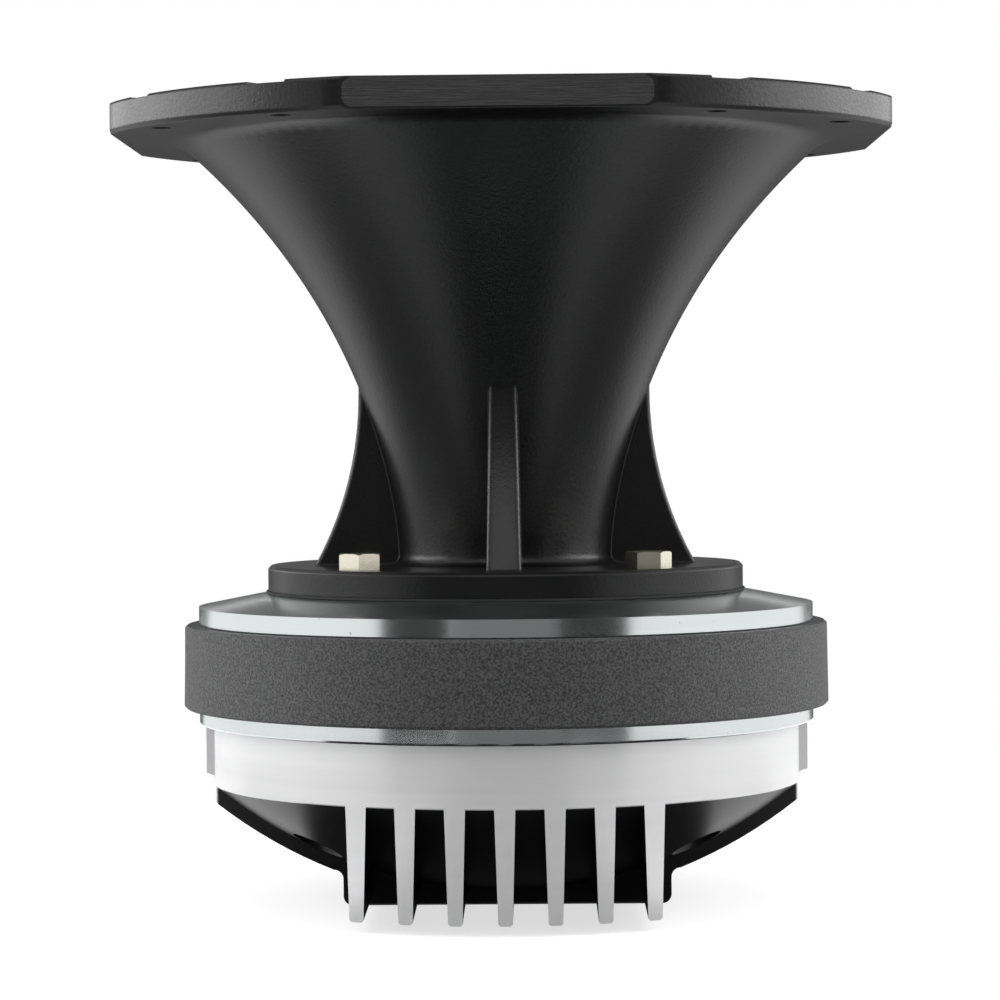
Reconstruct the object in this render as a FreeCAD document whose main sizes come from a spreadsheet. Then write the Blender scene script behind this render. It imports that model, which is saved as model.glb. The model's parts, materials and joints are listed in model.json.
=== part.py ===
"""Compression driver on its round exponential horn, standing on its finned rear cover.

Millimetres, +Z up along the axis of the horn. The origin is on the axis, at the lowest face
of the rear cover, and -Y is the side where the horn's flange has its sawn edge.
"""

import FreeCAD, Part
import math
import operator
import os
import Sketcher

doc = FreeCAD.newDocument("compression_driver")

# Driving dimensions, in millimetres and degrees.

DIMENSIONS = {
    # rear cover
    "cover_radius": 75.95,
    "cover_height": 45.6,
    "casting_allowance": 1.75,
    "dome_radius": "=cover_radius * 1.54",
    "fin_tip_height": 2.6,
    "fin_pitch": 12.0,
    "fin_count": 7,
    "fin_tip_width": 3.5,
    "fin_root_width": 5.3,
    "fin_tip_bevel": 0.5,
    "casting_overlap": 4.0,
    "bar_width": 34.6,
    "bar_depth": 2.0,
    "label_pad_width": 83.6,
    "label_pad_corner": 2.4,
    "side_boss_width": 17.0,
    "side_boss_flank": 9.0,
    "side_boss_height": 12.3,
    "side_boss_root": 8.0,
    "cover_screw_circle": "=cover_radius * 0.7242",
    "cover_screw_angle": 30.0,
    "counterbore_radius": 6.2,
    "counterbore_seat": "=cover_height - 19.6",
    "chamber_radius": "=cover_radius * 0.5464",
    "chamber_floor": 15.0,
    "ring_pocket_depth": 5.4,
    "damping_thickness": 6.0,
    # magnet system
    "gasket_thickness": 0.5,
    "gasket_overhang": 0.5,
    "plate_radius": "=cover_radius + 3.35",
    "gap_plate_rim": 4.1,
    "spigot_radius": "=cover_radius * 0.8163",
    "spigot_depth": 5.0,
    "magnet_radius": "=plate_radius + 3.9",
    "magnet_draft": 0.3,
    "magnet_bore": "=cover_radius * 0.5793",
    "magnet_thickness": 21.1,
    "back_plate_rim": 4.7,
    "back_plate_rise": 3.4,
    "back_plate_land": "=plate_radius * 0.778",
    "pole_radius": "=coil_radius - 2",
    "pole_tip_radius": "=coil_radius - 0.6",
    "pole_bore": "=coil_radius - 4.8",
    "plug_shoulder_height": "=cover_height + 18.4",
    "plug_exit_radius": "=throat_radius + 2.7",
    "shorting_ring_height": 9.0,
    "shorting_ring_wall": 3.0,
    # diaphragm
    "coil_radius": "=cover_radius * 0.5003",
    "former_wall": 0.2,
    "coil_wall": 0.6,
    "coil_height": 5.4,
    "former_height": 8.0,
    "gap_clearance": 0.6,
    "dome_sphere": "=coil_radius * 2.034",
    "foil_thickness": 0.3,
    "plug_clearance": 0.8,
    "surround_flat": 0.9,
    "roll_radius": 1.4,
    "roll_width": 2.5,
    "clamp_ring_radius": "=coil_radius + 10",
    "clamp_ring_height": 3.0,
    "clamp_screw_circle": "=clamp_ring_radius - 3.2",
    # phase plug
    "slot_width": 1.4,
    "slot_radius_inner": "=coil_radius * 0.2895",
    "slot_radius_middle": "=coil_radius * 0.5658",
    "slot_radius_outer": "=coil_radius - 6.1",
    "plug_ring_height": "=plug_shoulder_height + 2",
    "outer_ring_rim": "=plug_exit_radius - 4.8",
    "slot_flare": 0.2,
    "plug_lip": 1.4,
    "outer_ring_bore": "=plug_exit_radius - 6",
    "inner_ring_rim": "=plug_exit_radius * 0.533",
    "inner_ring_bore": "=plug_exit_radius * 0.482",
    "bullet_tip_radius": 1.0,
    "bullet_height": "=plug_shoulder_height + 10",
    "vane_count": 3,
    "vane_floor": "=cover_height + 0.4",
    "vane_height": 10.0,
    "vane_angle": 9.0,
    # horn
    "horn_base_radius": "=back_plate_land - 0.3",
    "horn_base_thickness": 6.5,
    "throat_radius": "=pole_bore - 8.5",
    "bell_length": 108.9,
    "bell_mouth_radius": "=flange_radius - 20.4",
    "bell_ease": 58.75,
    "bell_wall": 2.8,
    "bell_fillet": 3.0,
    "flange_radius": 103.9,
    "flange_thickness": 7.1,
    "flange_bevel": 0.9,
    "land_height": 0.6,
    "flat_distance": "=flange_radius - 6.8",
    "flange_hole_circle": "=flange_radius - 6.65",
    "flange_hole_angle": 31.75,
    "flange_hole_radius": 2.6,
    "relief_width": 11.0,
    "relief_length": 13.0,
    "rib_foot_radius": "=horn_bolt_circle - 1.7",
    "rib_top_radius": "=throat_radius + 12.9",
    "rib_height": 44.4,
    "rib_foot_width": 8.6,
    "rib_top_width": 6.9,
    "rib_rounding": 1.2,
    "horn_bolt_circle": "=horn_base_radius * 0.8274",
    # fasteners and terminals
    "bolt_radius": 3.0,
    "hex_flats": 10.0,
    "hex_head_height": 4.0,
    "cap_head_radius": 5.0,
    "cap_head_height": 6.0,
    "hole_clearance": 0.3,
    "thread_clearance": 0.05,
    "small_clearance": 0.2,
    "small_screw_radius": 1.5,
    "small_screw_length": 6.0,
    "small_head_radius": 2.8,
    "small_head_height": 2.0,
    "screw_end_gap": 0.5,
    "pin_radius": 1.0,
    "pin_depth": 4.0,
    "strip_width": 4.0,
    "strip_thickness": 0.6,
    "terminal_flange": 2.5,
    "terminal_rim": 2.0,
    "terminal_play": 0.05,
    "terminal_seat_play": 0.4,
    "terminal_screw_edge": 2.7,
    "terminal_window_edge": 5.0,
    "terminal_window_play": 0.3,
    "terminal_setback": 1.95,
    "terminal_plug_depth": 12.0,
    "terminal_spacing": 12.0,
    "blade_width": 6.3,
    "blade_thickness": 0.8,
    "blade_reach": "=cover_radius + 8.05",
    "blade_tail": 5.0,
    "strip_overlap": 3.0,
    "terminal_width": 31.0,
    "terminal_height": 10.4,
}

sheet = doc.addObject("Spreadsheet::Sheet", "Sizes")
for row, alias in enumerate(DIMENSIONS, start=1):
    sheet.set("A%d" % row, alias)
    sheet.setAlias("B%d" % row, alias)
for row, content in enumerate(DIMENSIONS.values(), start=1):
    sheet.set("B%d" % row, str(content))
doc.recompute()


class Size:
    """A number together with the spreadsheet formula that it comes from."""

    def __init__(self, number, formula):
        self.number = float(number)
        self.formula = formula

    def joined(self, other, sign, work):
        other = as_size(other)
        formula = "(%s %s %s)" % (self.formula, sign, other.formula)
        return Size(work(self.number, other.number), formula)

    def __add__(self, other):
        return self.joined(other, "+", operator.add)

    def __sub__(self, other):
        return self.joined(other, "-", operator.sub)

    def __mul__(self, other):
        return self.joined(other, "*", operator.mul)

    def __truediv__(self, other):
        return self.joined(other, "/", operator.truediv)

    def __neg__(self):
        return Size(-self.number, "(0 - %s)" % self.formula)


def as_size(value):
    return value if isinstance(value, Size) else Size(value, repr(float(value)))


def root(value):
    return Size(math.sqrt(value.number), "sqrt(%s)" % value.formula)


def cosine(angle):
    return Size(math.cos(math.radians(angle.number)), "cos(%s)" % angle.formula)


def sine(angle):
    return Size(math.sin(math.radians(angle.number)), "sin(%s)" % angle.formula)


def blend(start, end, share):
    return start + (end - start) * share


def half_chord(radius, distance):
    return root(radius * radius - distance * distance)


class Arc:
    """Marks the side of an outline that is a minor arc, with its centre to the left or right."""

    def __init__(self, radius, centre_left):
        self.radius = radius
        self.centre_left = centre_left


SIZE = {alias: Size(sheet.get(alias), "Sizes." + alias) for alias in DIMENSIONS}
ZERO = as_size(0)


# Levels along the axis that more than one piece shares.

JOINT_Z = SIZE["cover_height"]
FACE_Z = JOINT_Z + SIZE["gasket_thickness"] - SIZE["spigot_depth"]
GAP_TOP_Z = JOINT_Z + SIZE["gasket_thickness"] + SIZE["gap_plate_rim"]
MAGNET_TOP_Z = GAP_TOP_Z + SIZE["magnet_thickness"]
BACK_TOP_Z = MAGNET_TOP_Z + SIZE["back_plate_rim"] + SIZE["back_plate_rise"]
HORN_Z = BACK_TOP_Z + SIZE["gasket_thickness"]
BASE_TOP_Z = HORN_Z + SIZE["horn_base_thickness"]
FLANGE_Z = BASE_TOP_Z + SIZE["bell_length"]
FLANGE_TOP_Z = FLANGE_Z + SIZE["flange_thickness"]
LAND_Z = FLANGE_TOP_Z + SIZE["land_height"]
CLAMP_Z = FACE_Z - SIZE["foil_thickness"]
RING_Z = CLAMP_Z - SIZE["clamp_ring_height"]
SPHERE_Z = FACE_Z + half_chord(SIZE["dome_sphere"], SIZE["coil_radius"])
PLUG_SPHERE = SIZE["dome_sphere"] - SIZE["plug_clearance"]
FORMER_RADIUS = SIZE["coil_radius"] + SIZE["former_wall"]
COIL_RADIUS = FORMER_RADIUS + SIZE["coil_wall"]
GAP_RADIUS = COIL_RADIUS + SIZE["gap_clearance"]
SCREW_HOLE = SIZE["bolt_radius"] + SIZE["hole_clearance"]
TAPPED_HOLE = SIZE["bolt_radius"] + SIZE["thread_clearance"]
SMALL_HOLE = SIZE["small_screw_radius"] + SIZE["small_clearance"]
SMALL_THREAD = SIZE["small_screw_radius"] + SIZE["thread_clearance"]
GASKET_TOP_Z = JOINT_Z + SIZE["gasket_thickness"]
EDGE_BEVEL = as_size(0.4)
BASE_BEVEL = 0.8
BELL_STEPS = 14
SLOPE_STEP = 0.01
QUARTERS = (0, 90, 180, 270)


# Sketches and features.

def origin_part(body, role):
    for part in body.Origin.OriginFeatures:
        if part.Role == role:
            return part
    raise ValueError("no origin part " + role)


def new_body(label):
    body = doc.addObject("PartDesign::Body", label)
    body.Label = label
    body.Placement = FreeCAD.Placement()
    return body


def new_sketch(body, name, plane, offset=None):
    sketch = body.newObject("Sketcher::SketchObject", name)
    sketch.AttachmentSupport = [(origin_part(body, plane), "")]
    sketch.MapMode = "FlatFace"
    if offset is not None:
        sketch.AttachmentOffset = FreeCAD.Placement(FreeCAD.Vector(0, 0, offset.number),
                                                    FreeCAD.Rotation())
        sketch.setExpression("AttachmentOffset.Base.z", offset.formula)
    return sketch


def bind(sketch, kind, place, size):
    """Adds one constraint and binds it to the spreadsheet."""
    index = sketch.addConstraint(Sketcher.Constraint(kind, *place, size.number))
    sketch.setExpression("Constraints[%d]" % index, size.formula)


def fix_point(sketch, geometry, position, across, up):
    """Holds a point at its distances from the sketch's origin."""
    for size, axis, kind in ((across, -2, "DistanceX"), (up, -1, "DistanceY")):
        if size is ZERO:
            sketch.addConstraint(Sketcher.Constraint("PointOnObject", geometry, position, axis))
        else:
            bind(sketch, kind, (-1, 1, geometry, position), size)


def arc_between(start, end, arc):
    """Gives the arc's curve, and which of its ends comes first along the outline."""
    chord = end - start
    side = FreeCAD.Vector(-chord.y, chord.x, 0).normalize()
    reach = math.sqrt(arc.radius.number ** 2 - (chord.Length / 2) ** 2)
    centre = (start + end) * 0.5 + side * (reach if arc.centre_left else -reach)
    first, last = (start, end) if arc.centre_left else (end, start)
    angles = [math.atan2(point.y - centre.y, point.x - centre.x) for point in (first, last)]
    circle = Part.Circle(centre, FreeCAD.Vector(0, 0, 1), arc.radius.number)
    ends = (1, 2) if arc.centre_left else (2, 1)
    return Part.ArcOfCircle(circle, angles[0], angles[1]), ends


def draw_outline(sketch, corners):
    """Draws a closed outline; a corner may carry the arc that leads to the next corner."""
    count = len(corners)
    points = [FreeCAD.Vector(corner[0].number, corner[1].number, 0) for corner in corners]
    ends = []
    for number, corner in enumerate(corners):
        start, end = points[number], points[(number + 1) % count]
        if len(corner) > 2:
            curve, order = arc_between(start, end, corner[2])
        else:
            curve, order = Part.LineSegment(start, end), (1, 2)
        ends.append((sketch.addGeometry(curve, False), order))
    for number, (geometry, order) in enumerate(ends):
        following, following_order = ends[(number + 1) % count]
        sketch.addConstraint(Sketcher.Constraint(
            "Coincident", geometry, order[1], following, following_order[0]))
    for number, corner in enumerate(corners):
        geometry, order = ends[number]
        fix_point(sketch, geometry, order[0], corner[0], corner[1])
        if len(corner) > 2:
            bind(sketch, "Radius", (geometry,), corner[2].radius)


def draw_circle(sketch, across, up, radius):
    centre = FreeCAD.Vector(across.number, up.number, 0)
    geometry = sketch.addGeometry(
        Part.Circle(centre, FreeCAD.Vector(0, 0, 1), radius.number), False)
    fix_point(sketch, geometry, 3, across, up)
    bind(sketch, "Radius", (geometry,), radius)


def revolve(body, name, corners, kind="PartDesign::Revolution"):
    """Turns an outline of radius and height about the axis, or cuts it as a groove."""
    sketch = new_sketch(body, name + "_sketch", "XZ_Plane")
    draw_outline(sketch, corners)
    feature = body.newObject(kind, name)
    feature.Profile = sketch
    feature.ReferenceAxis = (sketch, ["V_Axis"])
    feature.Angle = 360
    return feature


def turned(label, corners):
    body = new_body(label)
    revolve(body, label + "_turning", corners)
    return body


def bevelled_ring(bore, radius, low, high, bevel):
    """Outline of a plain ring whose outer edges are bevelled."""
    bevel = as_size(bevel)
    return [(bore, low), (radius - bevel, low), (radius, low + bevel),
            (radius, high - bevel), (radius - bevel, high), (bore, high)]


def drill(body, name, centres, radius, level, depth, upwards=False, plane="XY_Plane"):
    """Drills parallel holes from one level, against the plane's normal or along it."""
    sketch = new_sketch(body, name + "_sketch", plane, level)
    for across, along in centres:
        draw_circle(sketch, across, along, radius)
    pocket = body.newObject("PartDesign::Pocket", name)
    pocket.Profile = sketch
    pocket.Reversed = upwards
    pocket.Length = depth.number
    pocket.setExpression("Length", depth.formula)
    return pocket


def pad_through(body, name, corners, width):
    """Pads an outline of the front view, half its width to each side of the middle plane."""
    sketch = new_sketch(body, name + "_sketch", "XZ_Plane")
    for outline in corners:
        draw_outline(sketch, outline)
    pad = body.newObject("PartDesign::Pad", name)
    pad.Profile = sketch
    pad.SideType = "Symmetric"
    pad.Length = width.number
    pad.setExpression("Length", width.formula)
    return pad


def pattern_round(body, name, feature, count):
    pattern = body.newObject("PartDesign::PolarPattern", name)
    pattern.Originals = [feature]
    pattern.Axis = (origin_part(body, "Z_Axis"), [""])
    pattern.Angle = 360
    pattern.Occurrences = count
    body.Tip = pattern
    return pattern


def round_places(radius, angles):
    """Centres on a circle, at named or plain angles from +X."""
    return [(radius * cosine(as_size(angle)), radius * sine(as_size(angle))) for angle in angles]


def corner_places(radius, angle):
    """The four centres that mirror one centre in both vertical planes."""
    across, along = radius * cosine(angle), radius * sine(angle)
    return [(across, along), (-across, along), (-across, -along), (across, -along)]


def solid_feature(label, shape):
    feature = doc.addObject("Part::Feature", label)
    feature.Label = label
    feature.Shape = shape
    feature.Placement = FreeCAD.Placement()
    return feature


def value(alias):
    return float(sheet.get(alias))


def vector(x, y, z):
    return FreeCAD.Vector(x, y, z)


COVER_SCREWS = corner_places(SIZE["cover_screw_circle"], SIZE["cover_screw_angle"])
HORN_BOLTS = round_places(SIZE["horn_bolt_circle"], [45, 135, 225, 315])
CLAMP_SCREWS = round_places(SIZE["clamp_screw_circle"], [30, 90, 150, 210, 270, 330])
CLAMP_PINS = [(SIZE["clamp_screw_circle"], ZERO), (-SIZE["clamp_screw_circle"], ZERO)]


# Rear cover: a domed casting with a turned edge, parallel fins and a bar across its back.

DOME_Z = SIZE["fin_tip_height"] + SIZE["dome_radius"]
BAR_RADIUS = SIZE["dome_radius"] + SIZE["bar_depth"]
RAW_RADIUS = SIZE["cover_radius"] + SIZE["casting_allowance"]
WINDOW_LOW = RING_Z - SIZE["terminal_height"] / 2 + 1.6
WINDOW_HIGH = FACE_Z - SIZE["terminal_window_play"]
WINDOW_HALF = SIZE["terminal_width"] / 2 - SIZE["terminal_window_edge"]
TERMINAL_FACE_Y = SIZE["cover_radius"] - SIZE["terminal_setback"]
TERMINAL_SCREW_X = SIZE["terminal_width"] / 2 - SIZE["terminal_screw_edge"]
TERMINAL_SCREWS = [(TERMINAL_SCREW_X, (WINDOW_LOW + WINDOW_HIGH) / 2),
                   (-TERMINAL_SCREW_X, (WINDOW_LOW + WINDOW_HIGH) / 2)]
CHAMBER_CORNER = as_size(3)


def dome_level(radius, across):
    return DOME_Z - half_chord(radius, across)


def fin_outline(number):
    middle = SIZE["fin_pitch"] * number
    top = dome_level(SIZE["dome_radius"], SIZE["cover_radius"]) + SIZE["casting_overlap"]
    tip, foot = SIZE["fin_tip_width"] / 2, SIZE["fin_root_width"] / 2
    low, bevel = SIZE["fin_tip_height"], SIZE["fin_tip_bevel"]
    return [(middle - tip + bevel, low), (middle + tip - bevel, low),
            (middle + tip, low + bevel), (middle + foot, top), (middle - foot, top),
            (middle - tip, low + bevel)]


def bar_outline():
    pad = SIZE["label_pad_width"] / 2
    corner = SIZE["label_pad_corner"]
    end = RAW_RADIUS + SIZE["casting_overlap"] / 2
    side = dome_level(BAR_RADIUS, end)
    shoulder = dome_level(BAR_RADIUS, pad + corner)
    top = side + SIZE["casting_overlap"] * 1.5
    return [(-pad + corner, ZERO), (pad - corner, ZERO, Arc(corner, True)), (pad, corner),
            (pad, shoulder - corner, Arc(corner, False)),
            (pad + corner, shoulder, Arc(BAR_RADIUS, True)), (end, side),
            (end, top), (-end, top), (-end, side, Arc(BAR_RADIUS, True)),
            (-pad - corner, shoulder, Arc(corner, False)), (-pad, shoulder - corner),
            (-pad, corner, Arc(corner, True))]


def trim_to_turning(body):
    """Cuts the casting back to the turned radius, as a lathe does."""
    sketch = new_sketch(body, "turning_sketch", "XY_Plane")
    draw_circle(sketch, ZERO, ZERO, SIZE["cover_radius"])
    draw_circle(sketch, ZERO, ZERO, RAW_RADIUS * 1.3)
    pocket = body.newObject("PartDesign::Pocket", "turning")
    pocket.Profile = sketch
    pocket.Reversed = True
    pocket.Length = SIZE["cover_height"].number * 2
    pocket.setExpression("Length", (SIZE["cover_height"] * 2).formula)


def side_boss(body, name, sign):
    """A boss on the side where the casting keeps its raw radius."""
    half = SIZE["side_boss_width"] / 2
    foot = half + SIZE["side_boss_flank"]
    inside = (SIZE["cover_radius"] - SIZE["side_boss_root"]) * sign
    near = half_chord(SIZE["cover_radius"], foot) * sign
    far = half_chord(RAW_RADIUS, half) * sign
    sketch = new_sketch(body, name + "_sketch", "XY_Plane", JOINT_Z)
    draw_outline(sketch, [(inside, -foot), (near, -foot), (far, -half, Arc(RAW_RADIUS, sign > 0)),
                          (far, half), (near, foot), (inside, foot)])
    pad = body.newObject("PartDesign::Pad", name)
    pad.Profile = sketch
    pad.Reversed = True
    pad.Length = SIZE["side_boss_height"].number
    pad.setExpression("Length", SIZE["side_boss_height"].formula)


def box_pocket(body, name, plane, level, corners, depth, reverse):
    """Cuts a straight-sided recess from one plane."""
    sketch = new_sketch(body, name + "_sketch", plane, level)
    draw_outline(sketch, corners)
    pocket = body.newObject("PartDesign::Pocket", name)
    pocket.Profile = sketch
    pocket.Reversed = reverse
    pocket.Length = depth.number
    pocket.setExpression("Length", depth.formula)


def rectangle(half_width, low, high):
    return [(-half_width, low), (half_width, low), (half_width, high), (-half_width, high)]


def make_rear_cover():
    body = new_body("rear_cover")
    edge = dome_level(SIZE["dome_radius"], RAW_RADIUS)
    revolve(body, "cover_casting", [
        (ZERO, SIZE["fin_tip_height"], Arc(SIZE["dome_radius"], True)),
        (RAW_RADIUS, edge), (RAW_RADIUS, JOINT_Z), (ZERO, JOINT_Z)])
    pad_through(body, "bar", [bar_outline()], SIZE["bar_width"])
    side_fins = (DIMENSIONS["fin_count"] - 1) // 2
    fins = [fin_outline(number) for number in range(-side_fins, side_fins + 1)]
    pad_through(body, "fins", fins, RAW_RADIUS * 2 + SIZE["casting_overlap"])
    trim_to_turning(body)
    side_boss(body, "side_boss_right", 1)
    side_boss(body, "side_boss_left", -1)
    ring_pocket_z = RING_Z + SIZE["clamp_ring_height"] - SIZE["ring_pocket_depth"]
    spigot_floor = FACE_Z - SIZE["gasket_thickness"]
    ring_room = SIZE["clamp_ring_radius"] + SIZE["gap_clearance"]
    spigot_room = SIZE["spigot_radius"] + SIZE["hole_clearance"]
    revolve(body, "chamber", [
        (ZERO, SIZE["chamber_floor"]),
        (SIZE["chamber_radius"] - CHAMBER_CORNER, SIZE["chamber_floor"],
         Arc(CHAMBER_CORNER, True)),
        (SIZE["chamber_radius"], SIZE["chamber_floor"] + CHAMBER_CORNER),
        (SIZE["chamber_radius"], ring_pocket_z), (ring_room, ring_pocket_z),
        (ring_room, spigot_floor), (spigot_room, spigot_floor), (spigot_room, JOINT_Z),
        (ZERO, JOINT_Z)], "PartDesign::Groove")
    drill(body, "counterbores", COVER_SCREWS, SIZE["counterbore_radius"], ZERO + 0.01,
          SIZE["counterbore_seat"] - 0.01, upwards=True)
    drill(body, "screw_holes", COVER_SCREWS, SCREW_HOLE, JOINT_Z, JOINT_Z)
    half, play = SIZE["terminal_width"] / 2, SIZE["terminal_seat_play"]
    rim = SIZE["terminal_rim"] + play
    box_pocket(body, "terminal_seat", "XZ_Plane", -TERMINAL_FACE_Y,
               rectangle(half + play, WINDOW_LOW - rim, WINDOW_HIGH + rim),
               SIZE["casting_allowance"] * 3, False)
    box_pocket(body, "terminal_window", "XZ_Plane", -TERMINAL_FACE_Y,
               rectangle(WINDOW_HALF, WINDOW_LOW, WINDOW_HIGH),
               TERMINAL_FACE_Y - SIZE["chamber_radius"] * 0.9, True)
    drill(body, "terminal_threads", TERMINAL_SCREWS, SMALL_THREAD, -TERMINAL_FACE_Y,
          SIZE["small_screw_length"], True, "XZ_Plane")
    return body


# Motor: two steel plates and a ring magnet around a hollow pole piece.

def make_gap_plate():
    plate, spigot = SIZE["plate_radius"], SIZE["spigot_radius"]
    body = turned("gap_plate", [
        (GAP_RADIUS, FACE_Z), (spigot, FACE_Z), (spigot, GASKET_TOP_Z),
        (plate - EDGE_BEVEL, GASKET_TOP_Z), (plate, GASKET_TOP_Z + EDGE_BEVEL),
        (plate, GAP_TOP_Z - EDGE_BEVEL), (plate - EDGE_BEVEL, GAP_TOP_Z),
        (GAP_RADIUS, GAP_TOP_Z)])
    drill(body, "cover_threads", COVER_SCREWS, TAPPED_HOLE, FACE_Z, GAP_TOP_Z - FACE_Z, True)
    drill(body, "clamp_threads", CLAMP_SCREWS, SMALL_THREAD, FACE_Z,
          SIZE["small_screw_length"], True)
    drill(body, "pin_holes", CLAMP_PINS, SIZE["pin_radius"], FACE_Z, SIZE["pin_depth"], True)


def make_magnet():
    low, high = SIZE["magnet_radius"], SIZE["magnet_radius"] - SIZE["magnet_draft"]
    bevel = EDGE_BEVEL * 1.5
    turned("magnet_ring", [
        (SIZE["magnet_bore"], GAP_TOP_Z), (low - bevel, GAP_TOP_Z), (low, GAP_TOP_Z + bevel),
        (high, MAGNET_TOP_Z - bevel), (high - bevel, MAGNET_TOP_Z),
        (SIZE["magnet_bore"], MAGNET_TOP_Z)])


def make_back_plate():
    plate, pole = SIZE["plate_radius"], SIZE["pole_radius"]
    body = turned("back_plate", [
        (pole, MAGNET_TOP_Z), (plate - EDGE_BEVEL, MAGNET_TOP_Z),
        (plate, MAGNET_TOP_Z + EDGE_BEVEL), (plate, MAGNET_TOP_Z + SIZE["back_plate_rim"]),
        (SIZE["back_plate_land"], BACK_TOP_Z), (pole, BACK_TOP_Z)])
    drill(body, "horn_threads", HORN_BOLTS, TAPPED_HOLE, BACK_TOP_Z, BACK_TOP_Z - MAGNET_TOP_Z)


def make_pole_piece():
    pole, tip, bore = SIZE["pole_radius"], SIZE["pole_tip_radius"], SIZE["pole_bore"]
    shoulder = SIZE["plug_shoulder_height"]
    tip_top = GAP_TOP_Z + SIZE["hole_clearance"]
    turned("pole_piece", [
        (bore, FACE_Z), (tip, FACE_Z), (tip, tip_top), (pole, tip_top), (pole, BACK_TOP_Z),
        (SIZE["throat_radius"], BACK_TOP_Z), (SIZE["plug_exit_radius"], shoulder),
        (bore, shoulder)])
    wall = pole + SIZE["shorting_ring_wall"]
    low = tip_top + 0.5
    turned("shorting_ring", bevelled_ring(pole, wall, low, low + SIZE["shorting_ring_height"], 0.3))


# Phase plug: a body, two rings and a bullet with annular passages between them.

def plug_level(across):
    return SPHERE_Z - half_chord(PLUG_SPHERE, across)


def wall_radius(wall, level):
    """Radius of a straight wall at one level."""
    (foot, foot_z), (top, top_z) = wall
    return blend(foot, top, (level - foot_z) / (top_z - foot_z))


class Passage:
    """An annular passage of the phase plug between an inner and an outer wall."""

    def __init__(self, slot, inner_top, outer_top):
        half = SIZE["slot_width"] / 2
        inner, outer = slot - half, slot + half
        self.inner = ((inner, plug_level(inner)), inner_top)
        self.outer = ((outer, plug_level(outer)), outer_top)


def plug_ring(label, bore_wall, rim_wall):
    """Turns one member of the plug between two passages."""
    return turned(label, [bore_wall[0] + (Arc(PLUG_SPHERE, True),), rim_wall[0], rim_wall[1],
                          bore_wall[1]])


def add_vanes(body, passage):
    """Adds the vanes that hold a member inside its neighbour."""
    low = SIZE["vane_floor"]
    high = low + SIZE["vane_height"]
    bite = SIZE["slot_width"] / 4
    vane = revolve(body, body.Label + "_vane", [
        (wall_radius(passage.inner, low) - bite, low), (wall_radius(passage.outer, low), low),
        (wall_radius(passage.outer, high), high),
        (wall_radius(passage.inner, high) - bite, high)])
    vane.Midplane = True
    vane.setExpression("Angle", SIZE["vane_angle"].formula)
    pattern_round(body, body.Label + "_vanes", vane, DIMENSIONS["vane_count"])


def make_phase_plug():
    shoulder, ring_top = SIZE["plug_shoulder_height"], SIZE["plug_ring_height"]
    outer = Passage(SIZE["slot_radius_outer"], (SIZE["outer_ring_rim"], ring_top),
                    (SIZE["plug_exit_radius"] + SIZE["slot_flare"], shoulder))
    middle = Passage(SIZE["slot_radius_middle"], (SIZE["inner_ring_rim"], ring_top),
                     (SIZE["outer_ring_bore"], ring_top))
    inner = Passage(SIZE["slot_radius_inner"], (SIZE["bullet_tip_radius"], SIZE["bullet_height"]),
                    (SIZE["inner_ring_bore"], ring_top))
    lip = SIZE["pole_tip_radius"] - SIZE["plug_lip"]
    bore = SIZE["pole_bore"]
    turned("plug_body", [outer.outer[0] + (Arc(PLUG_SPHERE, True),), (lip, plug_level(lip)),
                         (lip, FACE_Z), (bore, FACE_Z), (bore, shoulder), outer.outer[1]])
    add_vanes(plug_ring("plug_ring_outer", middle.outer, outer.inner), outer)
    add_vanes(plug_ring("plug_ring_inner", inner.outer, middle.inner), middle)
    bullet = turned("plug_bullet", [
        (ZERO, SPHERE_Z - PLUG_SPHERE, Arc(PLUG_SPHERE, True)), inner.inner[0], inner.inner[1],
        (ZERO, SIZE["bullet_height"])])
    add_vanes(bullet, inner)


# Diaphragm: a foil dome with its coil, held by a clamp ring on the gap plate.

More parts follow.
